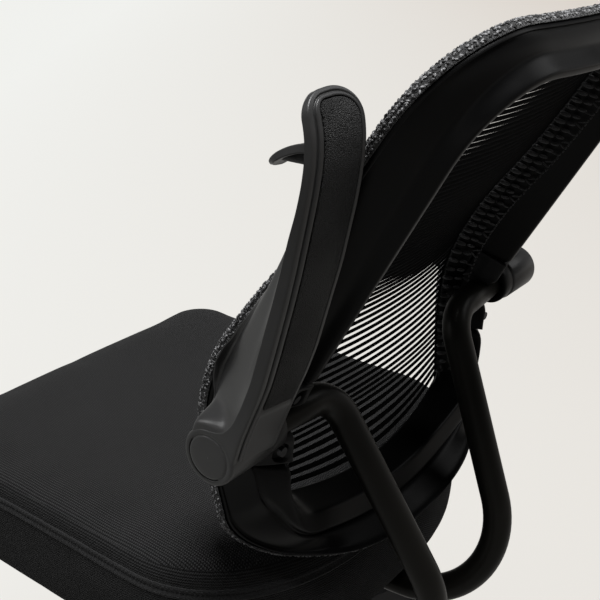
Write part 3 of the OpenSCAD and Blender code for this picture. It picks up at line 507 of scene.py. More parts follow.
cloth_place.feed(cloth_shader, "Normal", (weave + fuzz * 0.4).bump(0.0008))
cushion.data.materials.clear()
cushion.data.materials.append(seat_cloth)
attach(cushion, "seat")
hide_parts("seat_cushion")


# Seam band of the seat
# A narrow strip of the same cloth that joins the top and side panels, held by a row of
# lockstitches along each edge.
cover_surface = BVHTree.FromObject(cushion, bpy.context.evaluated_depsgraph_get())


def on_cover(x, y, height):
    """Where the cushion's cover lies nearest to a point, and which way it faces there."""
    place, facing_out, _, _ = cover_surface.find_nearest((x, y, seam_height + height))
    return place, facing_out


# height above the seam and lift off the cover, across the band
band_section = (
    (-0.0062, 0.0002), (-0.0050, 0.0009), (-0.002, 0.0005), (0, -0.0002),
    (0.002, 0.0005), (0.0050, 0.0009), (0.0062, 0.0002),
)
band_line = even(seat_plan(0.001), 900)
band_rows = []
for x, y in band_line:
    row = []
    for height, lift in band_section:
        place, facing_out = on_cover(x, y, height)
        row.append(tuple(place + facing_out * lift))
    band_rows.append(row)
band_cloth, band_shader, band_place = new_finish(
    "band_cloth", (0.02, 0.02, 0.021), 0.9, specular=0.2, sheen=0.1,
)
band_fuzz = band_place.noise(900)
band_place.feed(band_shader, "Base Color", band_fuzz.between(
    0.3, 0.7, (0.007, 0.007, 0.0075), (0.028, 0.028, 0.0285),
))
band_place.feed(band_shader, "Normal", band_fuzz.bump(0.0003))
band = lay("seat_seam_band", band_rows, closed=(True, False), material=band_cloth)
change(band, "SOLIDIFY", thickness=0.0008, offset=-1.0)
finish_mesh(band)
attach(band, "seat")


def strand_faces(first, rings, sides):
    """Faces of a short closed strand whose rings of points start at number first."""
    turns = [(j, (j + 1) % sides) for j in range(sides)]
    faces = []
    for low in range(first, first + (rings - 1) * sides, sides):
        faces += [(low + j, low + j2, low + sides + j2, low + sides + j) for j, j2 in turns]
    last = first + (rings - 1) * sides
    faces.append(tuple(range(first + sides - 1, first - 1, -1)))
    faces.append(tuple(range(last, last + sides)))
    return faces


# place along a stitch, its thickness there, and how far it sinks towards the cloth
stitch_shape = ((0, 0.2, 0.9), (0.12, 0.9, 0.2), (0.5, 1.0, 0.0), (0.88, 0.9, 0.2), (1, 0.2, 0.9))
stitch_length, stitch_gap, stitch_radius, stitch_lift = 0.0036, 0.0012, 0.00045, 0.0012
yarn_sides = 6
yarn_turn = [a * math.pi / 3 for a in range(yarn_sides)]


def stitches(name, line, material):
    """Row of short rounded stitches along a line of (point, outward) pairs."""
    points, outs = (np.array(column) for column in zip(*line))
    reach = np.concatenate([[0], np.cumsum(np.linalg.norm(np.diff(points, axis=0), axis=1))])
    stitch_points, faces = [], []
    start = 0.0
    while start + stitch_length < reach[-1]:
        faces += strand_faces(len(stitch_points), len(stitch_shape), yarn_sides)
        at = start + stitch_length * np.array([place for place, _, _ in stitch_shape])
        mid = np.stack([np.interp(at, reach, points[:, i]) for i in range(3)], -1)
        out = np.stack([np.interp(at, reach, outs[:, i]) for i in range(3)], -1)
        along_line = mid[-1] - mid[0]
        along_line /= np.linalg.norm(along_line)
        for k, (_, thick, sink) in enumerate(stitch_shape):
            side = np.cross(out[k], along_line)
            middle = mid[k] + out[k] * (stitch_lift - sink * stitch_radius)
            for turn in yarn_turn:
                away = math.cos(turn) * side + math.sin(turn) * out[k]
                stitch_points.append(middle + stitch_radius * thick * away)
        start += stitch_length + stitch_gap
    return new_piece(name, stitch_points, faces, material)


thread, thread_shader, thread_place = new_finish(
    "seat_thread", (0.016, 0.016, 0.0165), 0.7, specular=0.2,
)
thread_place.feed(thread_shader, "Base Color", thread_place.noise(2500).between(
    0.3, 0.7, (0.006, 0.006, 0.0065), (0.022, 0.022, 0.0225),
))
for row_name, height in (("seat_stitches_low", -0.0036), ("seat_stitches_high", 0.0036)):
    line = [on_cover(x, y, height) for x, y in band_line]
    row = stitches(row_name, line + line[:1], thread)
    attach(row, "seat")


# Back tubes
# Two bent steel tubes with a satin powder coat. Each runs from the arm's pivot through the side
# bracket, down behind the seat and forward into the yoke.
def bent_path(corners, radii, steps):
    """Points and directions along a path with a round bend at each inner corner."""
    corners = [np.array(c, float) for c in corners]
    first = corners[1] - corners[0]
    stops = [(corners[0], first / np.linalg.norm(first))]
    for i in range(1, len(corners) - 1):
        d1, d2 = corners[i] - corners[i - 1], corners[i + 1] - corners[i]
        d1, d2 = d1 / np.linalg.norm(d1), d2 / np.linalg.norm(d2)
        turn = math.acos(float(d1 @ d2))
        inward = d2 - d1 * (d1 @ d2)
        inward /= np.linalg.norm(inward)
        middle = corners[i] - d1 * radii[i] * math.tan(turn / 2) + inward * radii[i]
        for a in np.linspace(0, turn, steps):
            spot = middle + radii[i] * (d1 * math.sin(a) - inward * math.cos(a))
            stops.append((spot, d1 * math.cos(a) + inward * math.sin(a)))
    last = corners[-1] - corners[-2]
    stops.append((corners[-1], last / np.linalg.norm(last)))
    return stops


def bent_tube(name, stops, radius, sides, material, keel):
    """Closed round bar along a path; no ring of it twists about the keel direction."""
    keel = np.array(keel, float)
    rows = []
    for point, direction in stops:
        x = np.cross(keel, direction)
        x /= np.linalg.norm(x)
        y = np.cross(direction, x)
        turn = np.linspace(0, 2 * math.pi, sides, endpoint=False)
        rows.append(point + radius * (np.outer(np.cos(turn), x) + np.outer(np.sin(turn), y)))
    return lay(name, rows, closed=(False, True), ends=(True, True), material=material)


tube_paint = painted("tube_paint", (0.0085, 0.008, 0.0068), 0.36, specular=0.1)
tube_radius = 0.015
tube_corners = (
    (0.2155, 0.220, 0.622), (0.1107, 0.224, 0.6155), (0.050, 0.373, 0.313), (0.0305, 0.094, 0.307),
)
tube_bends = (0, 0.038, 0.094, 0)
for side_name, sign in (("left", 1), ("right", -1)):
    stops = bent_path([(sign * x, y, z) for x, y, z in tube_corners], tube_bends, 28)
    tube = bent_tube(f"tube_{side_name}", stops, tube_radius, 56, tube_paint, (-sign, -1, 1))
    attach(tube, "back")
    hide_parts(f"back_tube_{side_name}")


# Back frame
# One large satin black moulding: a proud ring round the window, a valley outside it, a broad band
# that sweeps forward to thin wings, and an inner wall down to the net. The side brackets sit in its
# notches and are screwed to it.
def smooth_lookup(x, table):
    """Value from a table with rounded joins between its straight parts."""
    xs, ys = np.array(table, float).T
    spread = np.linspace(-0.04, 0.04, 9)
    return np.mean([np.interp(np.asarray(x) + d, xs, ys) for d in spread], axis=0)


def ease(t):
    t = np.clip(t, 0, 1)
    return t * t * (3 - 2 * t)


# sizes in mm; s is the distance up along the back from its bend
lean, bend_radius, pivot_back, pivot_height = math.radians(28.9), 168.0, 220.0, 622.0
kink_back, kink_drop = 11.0, 3.0
bend_half, bend_tangent = bend_radius * lean / 2, bend_radius * math.tan(lean / 2)
window_half, window_up, window_down = 174.0, 340.0, 102.0
back_length = window_up + window_half / 2
frame_half = 208.0
mesh_half, mesh_up, mesh_down = 150.0, 322.0, 96.0
mesh_reach, mesh_sag, wing_reach = 59, 14, 80
lip_rise_top, lip_rise_low = 12, 7
wing_sweep_top, wing_sweep_low = 12, 90
smile_drop = 38
# share of the back's length, and share of the net's or the wings' reach in front of the rear lip
mesh_depth = (
    (-0.3, 0.7), (-0.05, 0.78), (0.03, 0.9), (0.11, 0.98), (0.19, 1), (0.28, 0.95), (0.42, 0.8),
    (0.57, 0.73), (0.8, 0.66),
)
wing_depth = (
    (-0.33, 0.86), (-0.25, 0.66), (-0.17, 0.8), (-0.05, 1), (0.03, 1), (0.14, 0.93), (0.26, 0.84),
    (0.33, 0.75), (0.69, 0.59), (0.78, 0.55), (0.88, 0.46),
)


def on_back(u, s, n):
    """Point in metres at u across the back, s along it and n behind its rear lip, all in mm."""
    u, s, n = np.broadcast_arrays(*(np.asarray(v, float) for v in (u, s, n)))
    turn = lean * np.clip((s + bend_half) / (2 * bend_half), 0, 1)
    low, high = np.minimum(s + bend_half, 0), np.maximum(s - bend_half, 0)
    y = bend_radius * (1 - np.cos(turn)) + high * math.sin(lean)
    z = -bend_tangent + bend_radius * np.sin(turn) + low + high * math.cos(lean)
    y = pivot_back + kink_back + y + n * np.cos(turn)
    z = pivot_height - kink_drop + z - n * np.sin(turn)
    return np.stack([u, y, z], -1) / 1000


def low_share(s):
    """1 along the bottom of the back, 0 at its sides."""
    return ease((-s / back_length - 0.13) / 0.14)


def high_share(s):
    """1 along the top of the back, 0 at its sides."""
    return ease((s / back_length - 0.6) / 0.14)


def bulge(u, half, power=2):
    """1 in the middle of the back, 0 at half to either side."""
    return np.maximum(0, 1 - (u / half) ** power)


def mesh_level(u, s):
    sag = mesh_sag * (1 - (u / mesh_half) ** 2)
    return -mesh_reach * smooth_lookup(s / back_length, mesh_depth) + sag


def lip_level(u, s):
    return bulge(u, window_half) * (lip_rise_top * high_share(s) + lip_rise_low * low_share(s))


def wing_level(u, s):
    return (
        -wing_reach * smooth_lookup(s / back_length, wing_depth)
        + bulge(u, frame_half, 4) * wing_sweep_low * low_share(s)
        + bulge(u, frame_half) * wing_sweep_top * high_share(s)
    )


def smiled(u, s):
    """The window and the bottom edge drop towards their middle."""
    return s - smile_drop * bulge(u, frame_half) ** 1.6 * low_share(s)


notch_low, notch_high, notch_floor = -43.0, 42.0, -33.0
side_stops = sorted([
    *np.linspace(notch_low, notch_high, 12), notch_low - 0.4, notch_high + 0.4,
    *np.linspace(notch_high, 270, 24)[1:],
])


def ring_outline(half, down, up, top_radius, low_radius):
    """Round-cornered closed outline with the same number of stations for every size."""
    quarter = np.linspace(0, math.pi / 2, 12)
    low_x, low_y = half - low_radius, low_radius - down
    top_x, top_y = half - top_radius, up - top_radius
    low_right = [
        (low_x + low_radius * math.sin(a), low_y - low_radius * math.cos(a)) for a in quarter
    ]
    top_right = [
        (top_x + top_radius * math.cos(a), top_y + top_radius * math.sin(a)) for a in quarter
    ]
    right = low_right + [(half, min(s, top_y - 0.5)) for s in side_stops] + top_right
    bottom = [(x, -down) for x in np.linspace(-low_x, low_x, 26)[1:-1]]
    top = [(x, up) for x in np.linspace(top_x, -top_x, 26)[1:-1]]
    return np.array(bottom + right + top + [(-x, y) for x, y in right[::-1]])


proud_more, valley_more = 15, 13.5
proud_rise_low, proud_fall_wide = 5, 18
valley_depth, valley_depth_flat = 16, 4.5
bead_rise = 10
ring_mesh = ring_outline(mesh_half, mesh_down, mesh_up, 3, 3)
ring_wall = ring_outline(mesh_half + 1, mesh_down + 1, mesh_up + 1, 44, 26)
ring_lip = ring_outline(window_half, window_down, window_up, 66, 36)
ring_proud = ring_outline(window_half + 8, window_down + 18, window_up + 8, 74, 46)
ring_valley = ring_outline(window_half + 13, window_down + 20.5, window_up + 13, 79, 48.5)
ring_wing = ring_outline(frame_half, window_down + 38, window_up + 25, 88, 40)


def blend_points(a, b, share):
    return a * (1 - share) + b * share


def wide_share(s):
    """1 beside the lower end of the bracket, where the ring is as wide as the bracket."""
    return ease((-s - 8) / 30) * ease((s + 98) / 40)


for ring, more in ((ring_proud, proud_more), (ring_valley, valley_more)):
    ring[:, 0] += np.sign(ring[:, 0]) * more * wide_share(ring[:, 1]) * (np.abs(ring[:, 0]) > 150)

lip_along = ring_lip[:, 1]
wide = wide_share(lip_along)
flat_share = np.maximum(low_share(lip_along), wide)
level_mesh = mesh_level(*ring_mesh.T)
level_lip = lip_level(*ring_lip.T)
level_proud = level_lip + proud_rise_low * low_share(lip_along) - proud_fall_wide * wide
level_valley = level_proud - (valley_depth + (valley_depth_flat - valley_depth) * flat_share)
level_wing = wing_level(*ring_wing.T)
level_bead = level_wing + bead_rise


def band_level(share, lifted):
    """Level across the broad band, lifted where the band is flat."""
    return blend_points(level_valley, level_bead, share) + lifted * flat_share


# the frame's closed section: two outlines, the share between them, and the level there
frame_section = (
    (ring_mesh, ring_lip, 0, level_mesh),
    (ring_wall, ring_lip, 0.15, level_mesh + 6),
    (ring_wall, ring_lip, 0.6, blend_points(level_mesh, level_lip, 0.55)),
    (ring_wall, ring_lip, 0.92, level_lip - 6),
    (ring_lip, ring_lip, 0, level_lip - 1.4),
    (ring_lip, ring_proud, 0.2, level_lip),
    (ring_lip, ring_proud, 0.8, blend_points(level_lip, level_proud, 0.8)),
    (ring_proud, ring_proud, 0, level_proud - 1.2 + 0.9 * flat_share),
    (ring_proud, ring_valley, 0.5, blend_points(level_proud, level_valley, 0.8)),
    (ring_valley, ring_valley, 0, level_valley),
    (ring_valley, ring_wing, 0.09, band_level(0.06, 5.0)),
    (ring_valley, ring_wing, 0.2, band_level(0.16, 5.0)),
    (ring_valley, ring_wing, 0.5, band_level(0.46, 3.0)),
    (ring_valley, ring_wing, 0.8, band_level(0.84, 0.0) - 1.0),
    (ring_valley, ring_wing, 0.86, level_bead - 1.2),
    (ring_valley, ring_wing, 0.91, level_bead + 1.0),
    (ring_valley, ring_wing, 0.96, level_bead + 1.0),
    (ring_wing, ring_wing, 0, level_wing + 7.5),
    (ring_wing, ring_wing, 0, level_wing + 1.4),
    (ring_mesh, ring_wing, 0.97, level_wing),
    (ring_mesh, ring_wing, 0.75, blend_points(level_mesh, level_wing, 0.79)),
    (ring_mesh, ring_wing, 0.35, blend_points(level_mesh, level_wing, 0.38)),
)
in_notch = (lip_along > notch_low - 0.2) & (lip_along < notch_high + 0.2)
frame_grid = []
for inner_ring, outer_ring, share, level in frame_section:
    u, s = blend_points(inner_ring, outer_ring, share).T
    level = np.where(in_notch & (level > notch_floor), notch_floor, level)
    frame_grid.append(on_back(u, smiled(u, s), level))
back_moulding = lay("back_moulding", np.array(frame_grid).transpose(1, 0, 2), closed=(True, True))
subdivide(back_moulding, 2)
frame_plastic = moulded(
    "frame_plastic", (0.003, 0.003, 0.0031), 0.34, grain=1100, depth=0.00003, specular=0.08,
)
back_moulding.data.materials.append(frame_plastic)
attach(back_moulding, "back")
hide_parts("back_frame")


# Knitted border
# The edge of the back's knitted cover: dark cloth with pale flecks, drawn over the front of the
# frame and wrapped round the wings, with loose loops of yarn standing on it.
knit_gap, knit_thick = 0.3, 2.4


def knit_line(a, b, share, level, out=0.0):
    spot = blend_points(a, b, share)
    way = ring_wing - ring_mesh
    way = way / np.linalg.norm(way, axis=1, keepdims=True)
    spot = spot + way * out
    return on_back(spot[:, 0], smiled(spot[:, 0], spot[:, 1]), level)


def knit_lines(shares, below):
    """Rows over the frame's front, at shares of the way out and of the way down to the wings."""
    return [
        knit_line(ring_mesh, ring_wing, out, blend_points(level_mesh, level_wing, down) - below)
        for out, down in shares
    ]


knit_rows = knit_lines(((0.03, 0.032), (0.35, 0.38), (0.75, 0.79), (0.97, 1.0)), knit_gap)
knit_rows += [
    knit_line(ring_wing, ring_wing, 0, level_wing + 1.4, knit_gap),
    knit_line(ring_wing, ring_wing, 0, level_wing + 7, knit_gap),
    knit_line(ring_wing, ring_wing, 0, level_wing + 8, 1.2),
    knit_line(ring_wing, ring_wing, 0, level_wing + 7, knit_thick),
    knit_line(ring_wing, ring_wing, 0, level_wing + 3.5, knit_thick + 0.6),
    knit_line(ring_wing, ring_wing, 0, level_wing, knit_thick + 0.2),
    knit_line(ring_mesh, ring_wing, 0.985, level_wing - knit_thick + 0.4),
]
knit_rows += knit_lines(
    ((0.92, 0.95), (0.75, 0.79), (0.35, 0.38), (0.03, 0.032)), knit_gap + knit_thick,
)
knit = lay("back_knit_border", np.array(knit_rows).transpose(1, 0, 2), closed=(True, True))
subdivide(knit, 2)
knit_cloth, knit_shader, knit_place = new_finish(
    "knit_cloth", (0.05, 0.05, 0.052), 0.85, specular=0.4, sheen=0.2,
)
loops = knit_place.cells(520)
specks = knit_place.noise(1300)
knit_tone = (1 - loops * 1.3) * 0.6 + specks * 0.6
knit_place.feed(knit_shader, "Base Color", knit_tone.between(
    0.25, 0.95, (0.003, 0.003, 0.0032), (0.05, 0.05, 0.052),
))
knit_place.feed(knit_shader, "Normal", (knit_tone + specks).bump(0.0012))
knit.data.materials.append(knit_cloth)
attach(knit, "back")
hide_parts("knit_border")


class YarnLoops:
    """Small egg-shaped loops of yarn, gathered in one mesh."""

    shape = ((-1, 0.15), (-0.8, 0.7), (-0.3, 1), (0.3, 1), (0.8, 0.7), (1, 0.15))

    def __init__(self):
        self.points = []
        self.faces = []

    def add(self, centre, long_way, out_way, length, radius):
        long_way = long_way / np.linalg.norm(long_way)
        out_way = out_way - long_way * (out_way @ long_way)
        out_way = out_way / np.linalg.norm(out_way)
        third = np.cross(long_way, out_way)
        self.faces += strand_faces(len(self.points), len(self.shape), yarn_sides)
        for place, thick in self.shape:
            middle = centre + long_way * place * length / 2
            for turn in yarn_turn:
                away = math.cos(turn) * out_way + math.sin(turn) * third
                self.points.append(middle + radius * thick * away)

    def piece(self, name, material):
        return new_piece(name, self.points, self.faces, material)


loop_yarn, loop_shader, loop_place = new_finish(
    "loop_yarn", (0.12, 0.12, 0.122), 0.6, specular=0.4,
)
loop_place.feed(loop_shader, "Base Color", loop_place.noise(330).between(
    0.42, 0.62, (0.003, 0.003, 0.0032), (0.26, 0.26, 0.265),
))
loop_place.feed(loop_shader, "Normal", loop_place.noise(1600).bump(0.0004))
loop_count, loop_length, loop_radius = 760, 0.0030, 0.00085
behind_knit = np.array([0, 0.30, 0.70])
knit_loops = YarnLoops()
loose = np.random.default_rng(7)
lanes = [even(np.array(row), loop_count) for row in knit_rows[7:11]]
for lane in range(3):
    for k in range(loop_count):
        a, b = lanes[lane][k], lanes[lane + 1][k]
        run, cross = lanes[lane][(k + 1) % loop_count] - lanes[lane][k - 1], b - a
        out = np.cross(run, cross)
        middle = a + cross * (0.5 + 0.15 * loose.standard_normal())
        middle = middle + run * 0.2 * loose.standard_normal()
        out *= np.sign(out @ (middle - behind_knit) + 1e-12)
        slant = 0.3 * loose.standard_normal() - (-1) ** (lane + k) * 0.9
        long_way = run / np.linalg.norm(run) + slant * cross / np.linalg.norm(cross)
        knit_loops.add(middle, long_way, out, loop_length, loop_radius)
loops_piece = knit_loops.piece("back_knit_loops", loop_yarn)
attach(loops_piece, "back")


# Net of the back
# A flat-knitted net of stiff ribs a few millimetres apart, stretched across the window and drawn
# forward in the middle. Its edge is a chain of fat loops that hangs on the frame's inner wall.
rib_pitch, rib_width, rib_thick = 6.3, 3.9, 2.8
rib_stops = np.arange(-mesh_down + 4, mesh_up - 2, rib_pitch)
rib_across = np.linspace(-mesh_half + 1, mesh_half - 1, 41)
rib_ring = (
    (0, 0.5), (0.28, 0.38), (0.5, 0), (0.28, -0.38), (0, -0.5), (-0.28, -0.38), (-0.5, 0),
    (-0.28, 0.38),
)
net_points, net_faces = [], []
for stop in rib_stops:
    net_faces += strand_faces(len(net_points), len(rib_across), len(rib_ring))
    width = rib_width * (1 + 0.38 * float(ease((stop - 40) / 110)))
    for u in rib_across:
        for a, b in rib_ring:
            s = stop + a * width
            level = mesh_level(u, stop) + b * rib_thick
            net_points.append(on_back(u, smiled(u, s), level))
net_yarn, yarn_shader, yarn_place = new_finish(
    "net_yarn", (0.02, 0.02, 0.021), 0.8, specular=0.035,
)
twist_pitch = 0.0019
twist = (yarn_place.axes()[0] * (2 * math.pi / twist_pitch)).wave()
yarn_fuzz = yarn_place.noise(1800)
yarn_place.feed(yarn_shader, "Base Color", (twist * 0.6 + yarn_fuzz * 0.6).between(
    0.2, 1.0, (0.0006, 0.0006, 0.0006), (0.0042, 0.0042, 0.0044),
))
yarn_place.feed(yarn_shader, "Normal", (twist + yarn_fuzz).bump(0.0004))
net = new_piece("back_net", net_points, net_faces, net_yarn)
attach(net, "back")
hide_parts("mesh_panel")


def on_wall(sign, s, out, up, along=0.0):
    """Point on the frame's inner wall, from the net's edge: outwards, rearwards and along."""
    edge = mesh_half + out
    return on_back(sign * edge, smiled(edge, s + along), float(mesh_level(mesh_half, s)) + up)


chain_pitch = 8.7
chain_loops = YarnLoops()
for sign in (-1, 1):
    for k, s in enumerate(np.arange(-mesh_down + 6, mesh_up - 8, chain_pitch)):
        # middle, direction, length and radius of the loops of one link of the chain
        link = (
            ((1.2, 6.5, 0.5), (4.5, 11, 2.0), 0.0115, 0.0023),
            ((5.4, 16.5, 3.4), (4.5, 11, 3.0), 0.0085, 0.0017),
            ((8.2, 23.5, 2.0 + (k % 3) * 1.6), (3, 10, 7.0 - (k % 3) * 5), 0.0090, 0.0009),
            ((9.6, 27.0, 1.0), (0, 0, 5), 0.0036, 0.0009),
            ((9.6, 27.0, 5.3), (0, 0, 5), 0.0036, 0.0009),
        )
        root = on_wall(sign, s, 0, 0)
        inward = on_wall(sign, s, -5, 2) - root
        for middle, way, length, radius in link:
            long_way = on_wall(sign, s, *way) - root
            chain_loops.add(on_wall(sign, s, *middle), long_way, inward, length, radius)
chain_yarn, chain_shader, chain_place = new_finish(
    "chain_yarn", (0.05, 0.05, 0.051), 0.75, specular=0.4, sheen=0.2,
)
chain_fuzz = chain_place.noise(1600, 3.0)
chain_place.feed(chain_shader, "Base Color", chain_fuzz.between(
    0.3, 0.7, (0.006, 0.006, 0.0063), (0.05, 0.05, 0.0515),
))
chain_place.feed(chain_shader, "Normal", chain_fuzz.bump(0.0006))
edge_chain = chain_loops.piece("back_net_edge_chain", chain_yarn)
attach(edge_chain, "back")


# Side brackets
# A moulded block on each side of the frame, level with the ring, with two oval screw recesses and a
# deep neck where the tube comes out of the arm's pivot boss.
recesses = ((28, 4.5), (-32, 3.5))
recess_middle, recess_radius, recess_edge, recess_depth = 183.5, 6.2, 1.8, 8.0
neck_depth, neck_half = 17, 22
bracket_gap, bracket_foot = 0.4, notch_floor + 0.3


def recess_sink(u, s):
    """Depth of the screw recesses at a place on the bracket's face."""
    edges = [
        recess_radius - math.hypot(u - recess_middle, max(0, abs(s - middle) - reach))
        for middle, reach in recesses
    ]
    return recess_depth * float(ease(max(edges) / recess_edge))


def bracket_rows(sign):
    """Closed sections of the bracket, one for each step along the back."""
    rows = []
    for s in np.linspace(notch_low + bracket_gap, notch_high - bracket_gap, 140):
        neck = -neck_depth * np.cos(np.pi / 2 * np.clip(s / neck_half, -1, 1)) ** 2
        low = float(ease((25 - s) / 60))
        wide, fall = 17 + 8 * low, 4 + 17 * low
        inner = [
            (window_half - 10, bracket_foot), (window_half - 6, notch_floor * 0.5 + neck * 0.2),
            (window_half - 1.2, neck - 4), (window_half - 0.3, neck - 1.4),
        ]
        face = []
        for t in np.linspace(0, 1, 34):
            u = window_half + 0.6 + t * wide
            face.append((u, neck * (1 - 0.5 * t * low) - fall * t ** 1.3 - recess_sink(u, s)))
        side, end_level = window_half + wide + 2, neck * (1 - 0.5 * low) - fall
        outer = [
            (window_half + wide + 1.4, end_level - 1.0), (side, end_level - 3),
            (side, min(notch_floor * 0.6, end_level - 5)), (side, min(bracket_foot, end_level - 6)),
        ]
        rows.append([on_back(sign * u, s, n) for u, n in inner + face + outer])
    return np.array(rows)


def turned_ring(name, sign, profile, material, sides):
    """Turned piece round the arm's pivot, from its outline as (radius, x) in mm."""
    rows = []
    for a in np.linspace(0, 2 * math.pi, sides, endpoint=False):
        rows.append([(
            sign * x / 1000,
            (pivot_back + r * math.cos(a)) / 1000,
            (pivot_height + r * math.sin(a)) / 1000,
        ) for r, x in profile])
    return lay(name, rows, closed=(True, True), material=material)


boss_profile = (
    (16.0, 198.4), (22.4, 198.4), (23.4, 199.0), (24.0, 200.0), (24.0, 214.6), (23.2, 215.9),
    (22.0, 216.4), (15.2, 216.4),
)
bracket_plastic = moulded(
    "bracket_plastic", (0.008, 0.008, 0.0082), 0.40, grain=1100, specular=0.12,
)
for side_name, sign in (("left", 1), ("right", -1)):
    bracket = lay(
        f"bracket_body_{side_name}", bracket_rows(sign), closed=(False, True),
        ends=(True, True), material=bracket_plastic,
    )
    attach(bracket, "back")
    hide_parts(f"bracket_{side_name}")
    boss = turned_ring(f"pivot_boss_{side_name}", sign, boss_profile, bracket_plastic, 72)
    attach(boss, "back")


# Arms
# Flip-up arm blades of satin grey-black plastic with round hubs and a grained pad. A double groove
# runs round the pad's rim, and the side rolls down to a ridge and dips into a saddle above the hub.
# Each hub turns on a pin in its bracket's boss, under a flush cap.
arm_inner, arm_outer, arm_middle_x = 217.0, 266.0, 241.5
# along the arm from its pivot, and height above the pivot's axis, on both edges of the pad
arm_line_inner = (
    (-18, 15), (-10, 22), (4, 25.6), (28, 28.2), (51, 30.9), (66, 32.8), (84, 35.6), (112, 38),
    (155, 38.2), (185, 38.6), (213, 37.2), (230, 36.4), (246, 34.9), (263, 32.6), (278, 28.9),
    (289, 24.2), (297, 18.8), (303, 13.2), (307.5, 7.2),
)
arm_line_outer = (
    (-18, 14), (-10, 20.4), (4, 23.4), (28, 24.6), (51, 26), (66, 27.1), (84, 28.7), (112, 29),
    (155, 29.2), (185, 28.4), (213, 26.9), (230, 25.9), (246, 24.8), (263, 22.7), (278, 19),
    (289, 14.6), (297, 9.6), (303, 4.2), (307.5, -1.6),
)
# along the arm, and the depth of its side and of the ridge on it
arm_side_depth = (
    (-18, 38), (3, 46), (18, 46), (32, 48), (45, 54), (60, 57), (77, 54), (107, 45), (134, 35),
    (157, 26), (183, 17), (208, 7.2), (230, 5.4), (250, 4.9), (330, 4.6),
)
arm_ridge = (
    (-18, 34), (20, 32), (23, 25), (26, 19), (30, 16), (37, 12.5), (44, 10.6), (60, 9.4), (80, 9),
    (150, 8), (220, 6), (330, 4.4),
)
# the lowered arm shows a longer reach and a steeper tip than the raised one
lowered_reach, lowered_drop = 41.0, 38.0


def arm_middle_line():
    """The blade's top line, at each mm: length, point, the way up from it, and its tilt."""
    inner, outer = np.array(arm_line_inner, float), np.array(arm_line_outer, float)
    corners = (inner + outer) / 2
    reach = np.concatenate([[0], np.cumsum(np.linalg.norm(np.diff(corners, axis=0), axis=1))])
    start = np.interp(0, corners[:, 0], reach)
    stops = np.arange(0, reach[-1], 1.0)
    line = np.stack([np.interp(stops, reach, corners[:, i]) for i in (0, 1)], -1)
    tilt = np.interp(stops, reach, inner[:, 1] - outer[:, 1])
    spare = 8
    weights = np.hanning(2 * spare + 1)
    weights /= weights.sum()
    before = line[0] + (line[0] - line[1]) * np.arange(spare, 0, -1)[:, None]
    after = line[-1] + (line[-1] - line[-2]) * np.arange(1, spare + 1)[:, None]
    longer = np.vstack([before, line, after])
    line = np.stack([np.convolve(longer[:, i], weights, "valid") for i in (0, 1)], -1)
    run = np.gradient(line, axis=0)
    run /= np.linalg.norm(run, axis=1, keepdims=True)
    return stops - start, line, np.stack([-run[:, 1], run[:, 0]], -1), tilt


arm_stop, arm_middle, arm_across, arm_tilt = arm_middle_line()
arm_reach = arm_stop[-1]


def along_arm(values, s):
    return np.interp(s, arm_stop, values)


def arm_place(sign, turn, x, s, d):
    """Points in metres from x across the arm, s along its top line and d above it, in mm."""
    x, s, d = np.broadcast_arrays(*(np.asarray(v, float) for v in (x, s, d)))
    lift = d + (0.5 - (x - arm_inner) / (arm_outer - arm_inner)) * along_arm(arm_tilt, s)
    t = along_arm(arm_middle[:, 0], s) + along_arm(arm_across[:, 0], s) * lift
    p = along_arm(arm_middle[:, 1], s) + along_arm(arm_across[:, 1], s) * lift
    if sign < 0:
        p = p - lowered_drop * np.clip((t - 222) / 84, 0, 1) ** 1.6
        t = t + lowered_reach * np.clip((t - 70) / 150, 0, 1)
    y, z = -t * math.cos(turn) + p * math.sin(turn), t * math.sin(turn) + p * math.cos(turn)
    return np.stack([sign * x / 1000, (pivot_back + y) / 1000, (pivot_height + z) / 1000], -1)


def arm_rim(start, outer_round=19.0, inner_round=24.0):
    """The pad side's edge from a start along the arm, round the tip and back.

    Each point has x, s, the way in along both, and a share from 1 on the outer side to 0 on the
    inner side.
    """
    lengths = np.concatenate([np.arange(start, 76, 3.0), np.linspace(76, arm_reach - 27, 40)])
    outer_x, outer_s = arm_outer - outer_round, arm_reach - outer_round
    inner_x, inner_s = arm_inner + inner_round, arm_reach - inner_round
    turns = [
        (math.cos(a), math.sin(a), 0.5 * float(ease(a / (math.pi / 2))))
        for a in np.linspace(0, math.pi / 2, 14)
    ]
    rim = [(arm_outer, v, -1, 0, 1) for v in lengths[lengths < outer_s]]
    rim += [
        (outer_x + outer_round * c, outer_s + outer_round * s, -c, -s, 1 - half)
        for c, s, half in turns
    ]
    rim += [
        (inner_x - inner_round * c, inner_s + inner_round * s, c, -s, half)
        for c, s, half in turns[::-1]
    ]
    rim += [(arm_inner, v, 1, 0, 0) for v in lengths[::-1] if v < inner_s]
    return np.array(rim, float).T


# inset and drop across the rim, from the pad over the double groove to the edge
outer_edge = (
    (12.2, -2.4), (11.6, -2.2), (11.3, -0.4), (10.9, 0), (7.9, 0), (7.5, -0.4), (7.2, -2.6),
    (5.4, -2.6), (5.1, -0.4), (4.7, 0), (1.4, 0), (0.5, -0.3), (0, -1.2),
)
inner_edge = (
    (4.4, -2.2), (4.1, -1.9), (3.9, -0.4), (3.6, 0), (3.2, 0), (2.9, 0), (2.6, 0), (2.3, 0),
    (2.0, 0), (1.7, 0), (1.2, -0.05), (0.5, -0.5), (0, -1.5),
)
pad_start, pad_inset_outer, pad_inset_inner = 58.0, 12.3, 4.6
pad_seat_depth, pad_seat_start = 2.4, 54
tip_middle = arm_reach - 24.5
hub_reach, hub_swell, saddle_run = 24.5, 3.9, 16


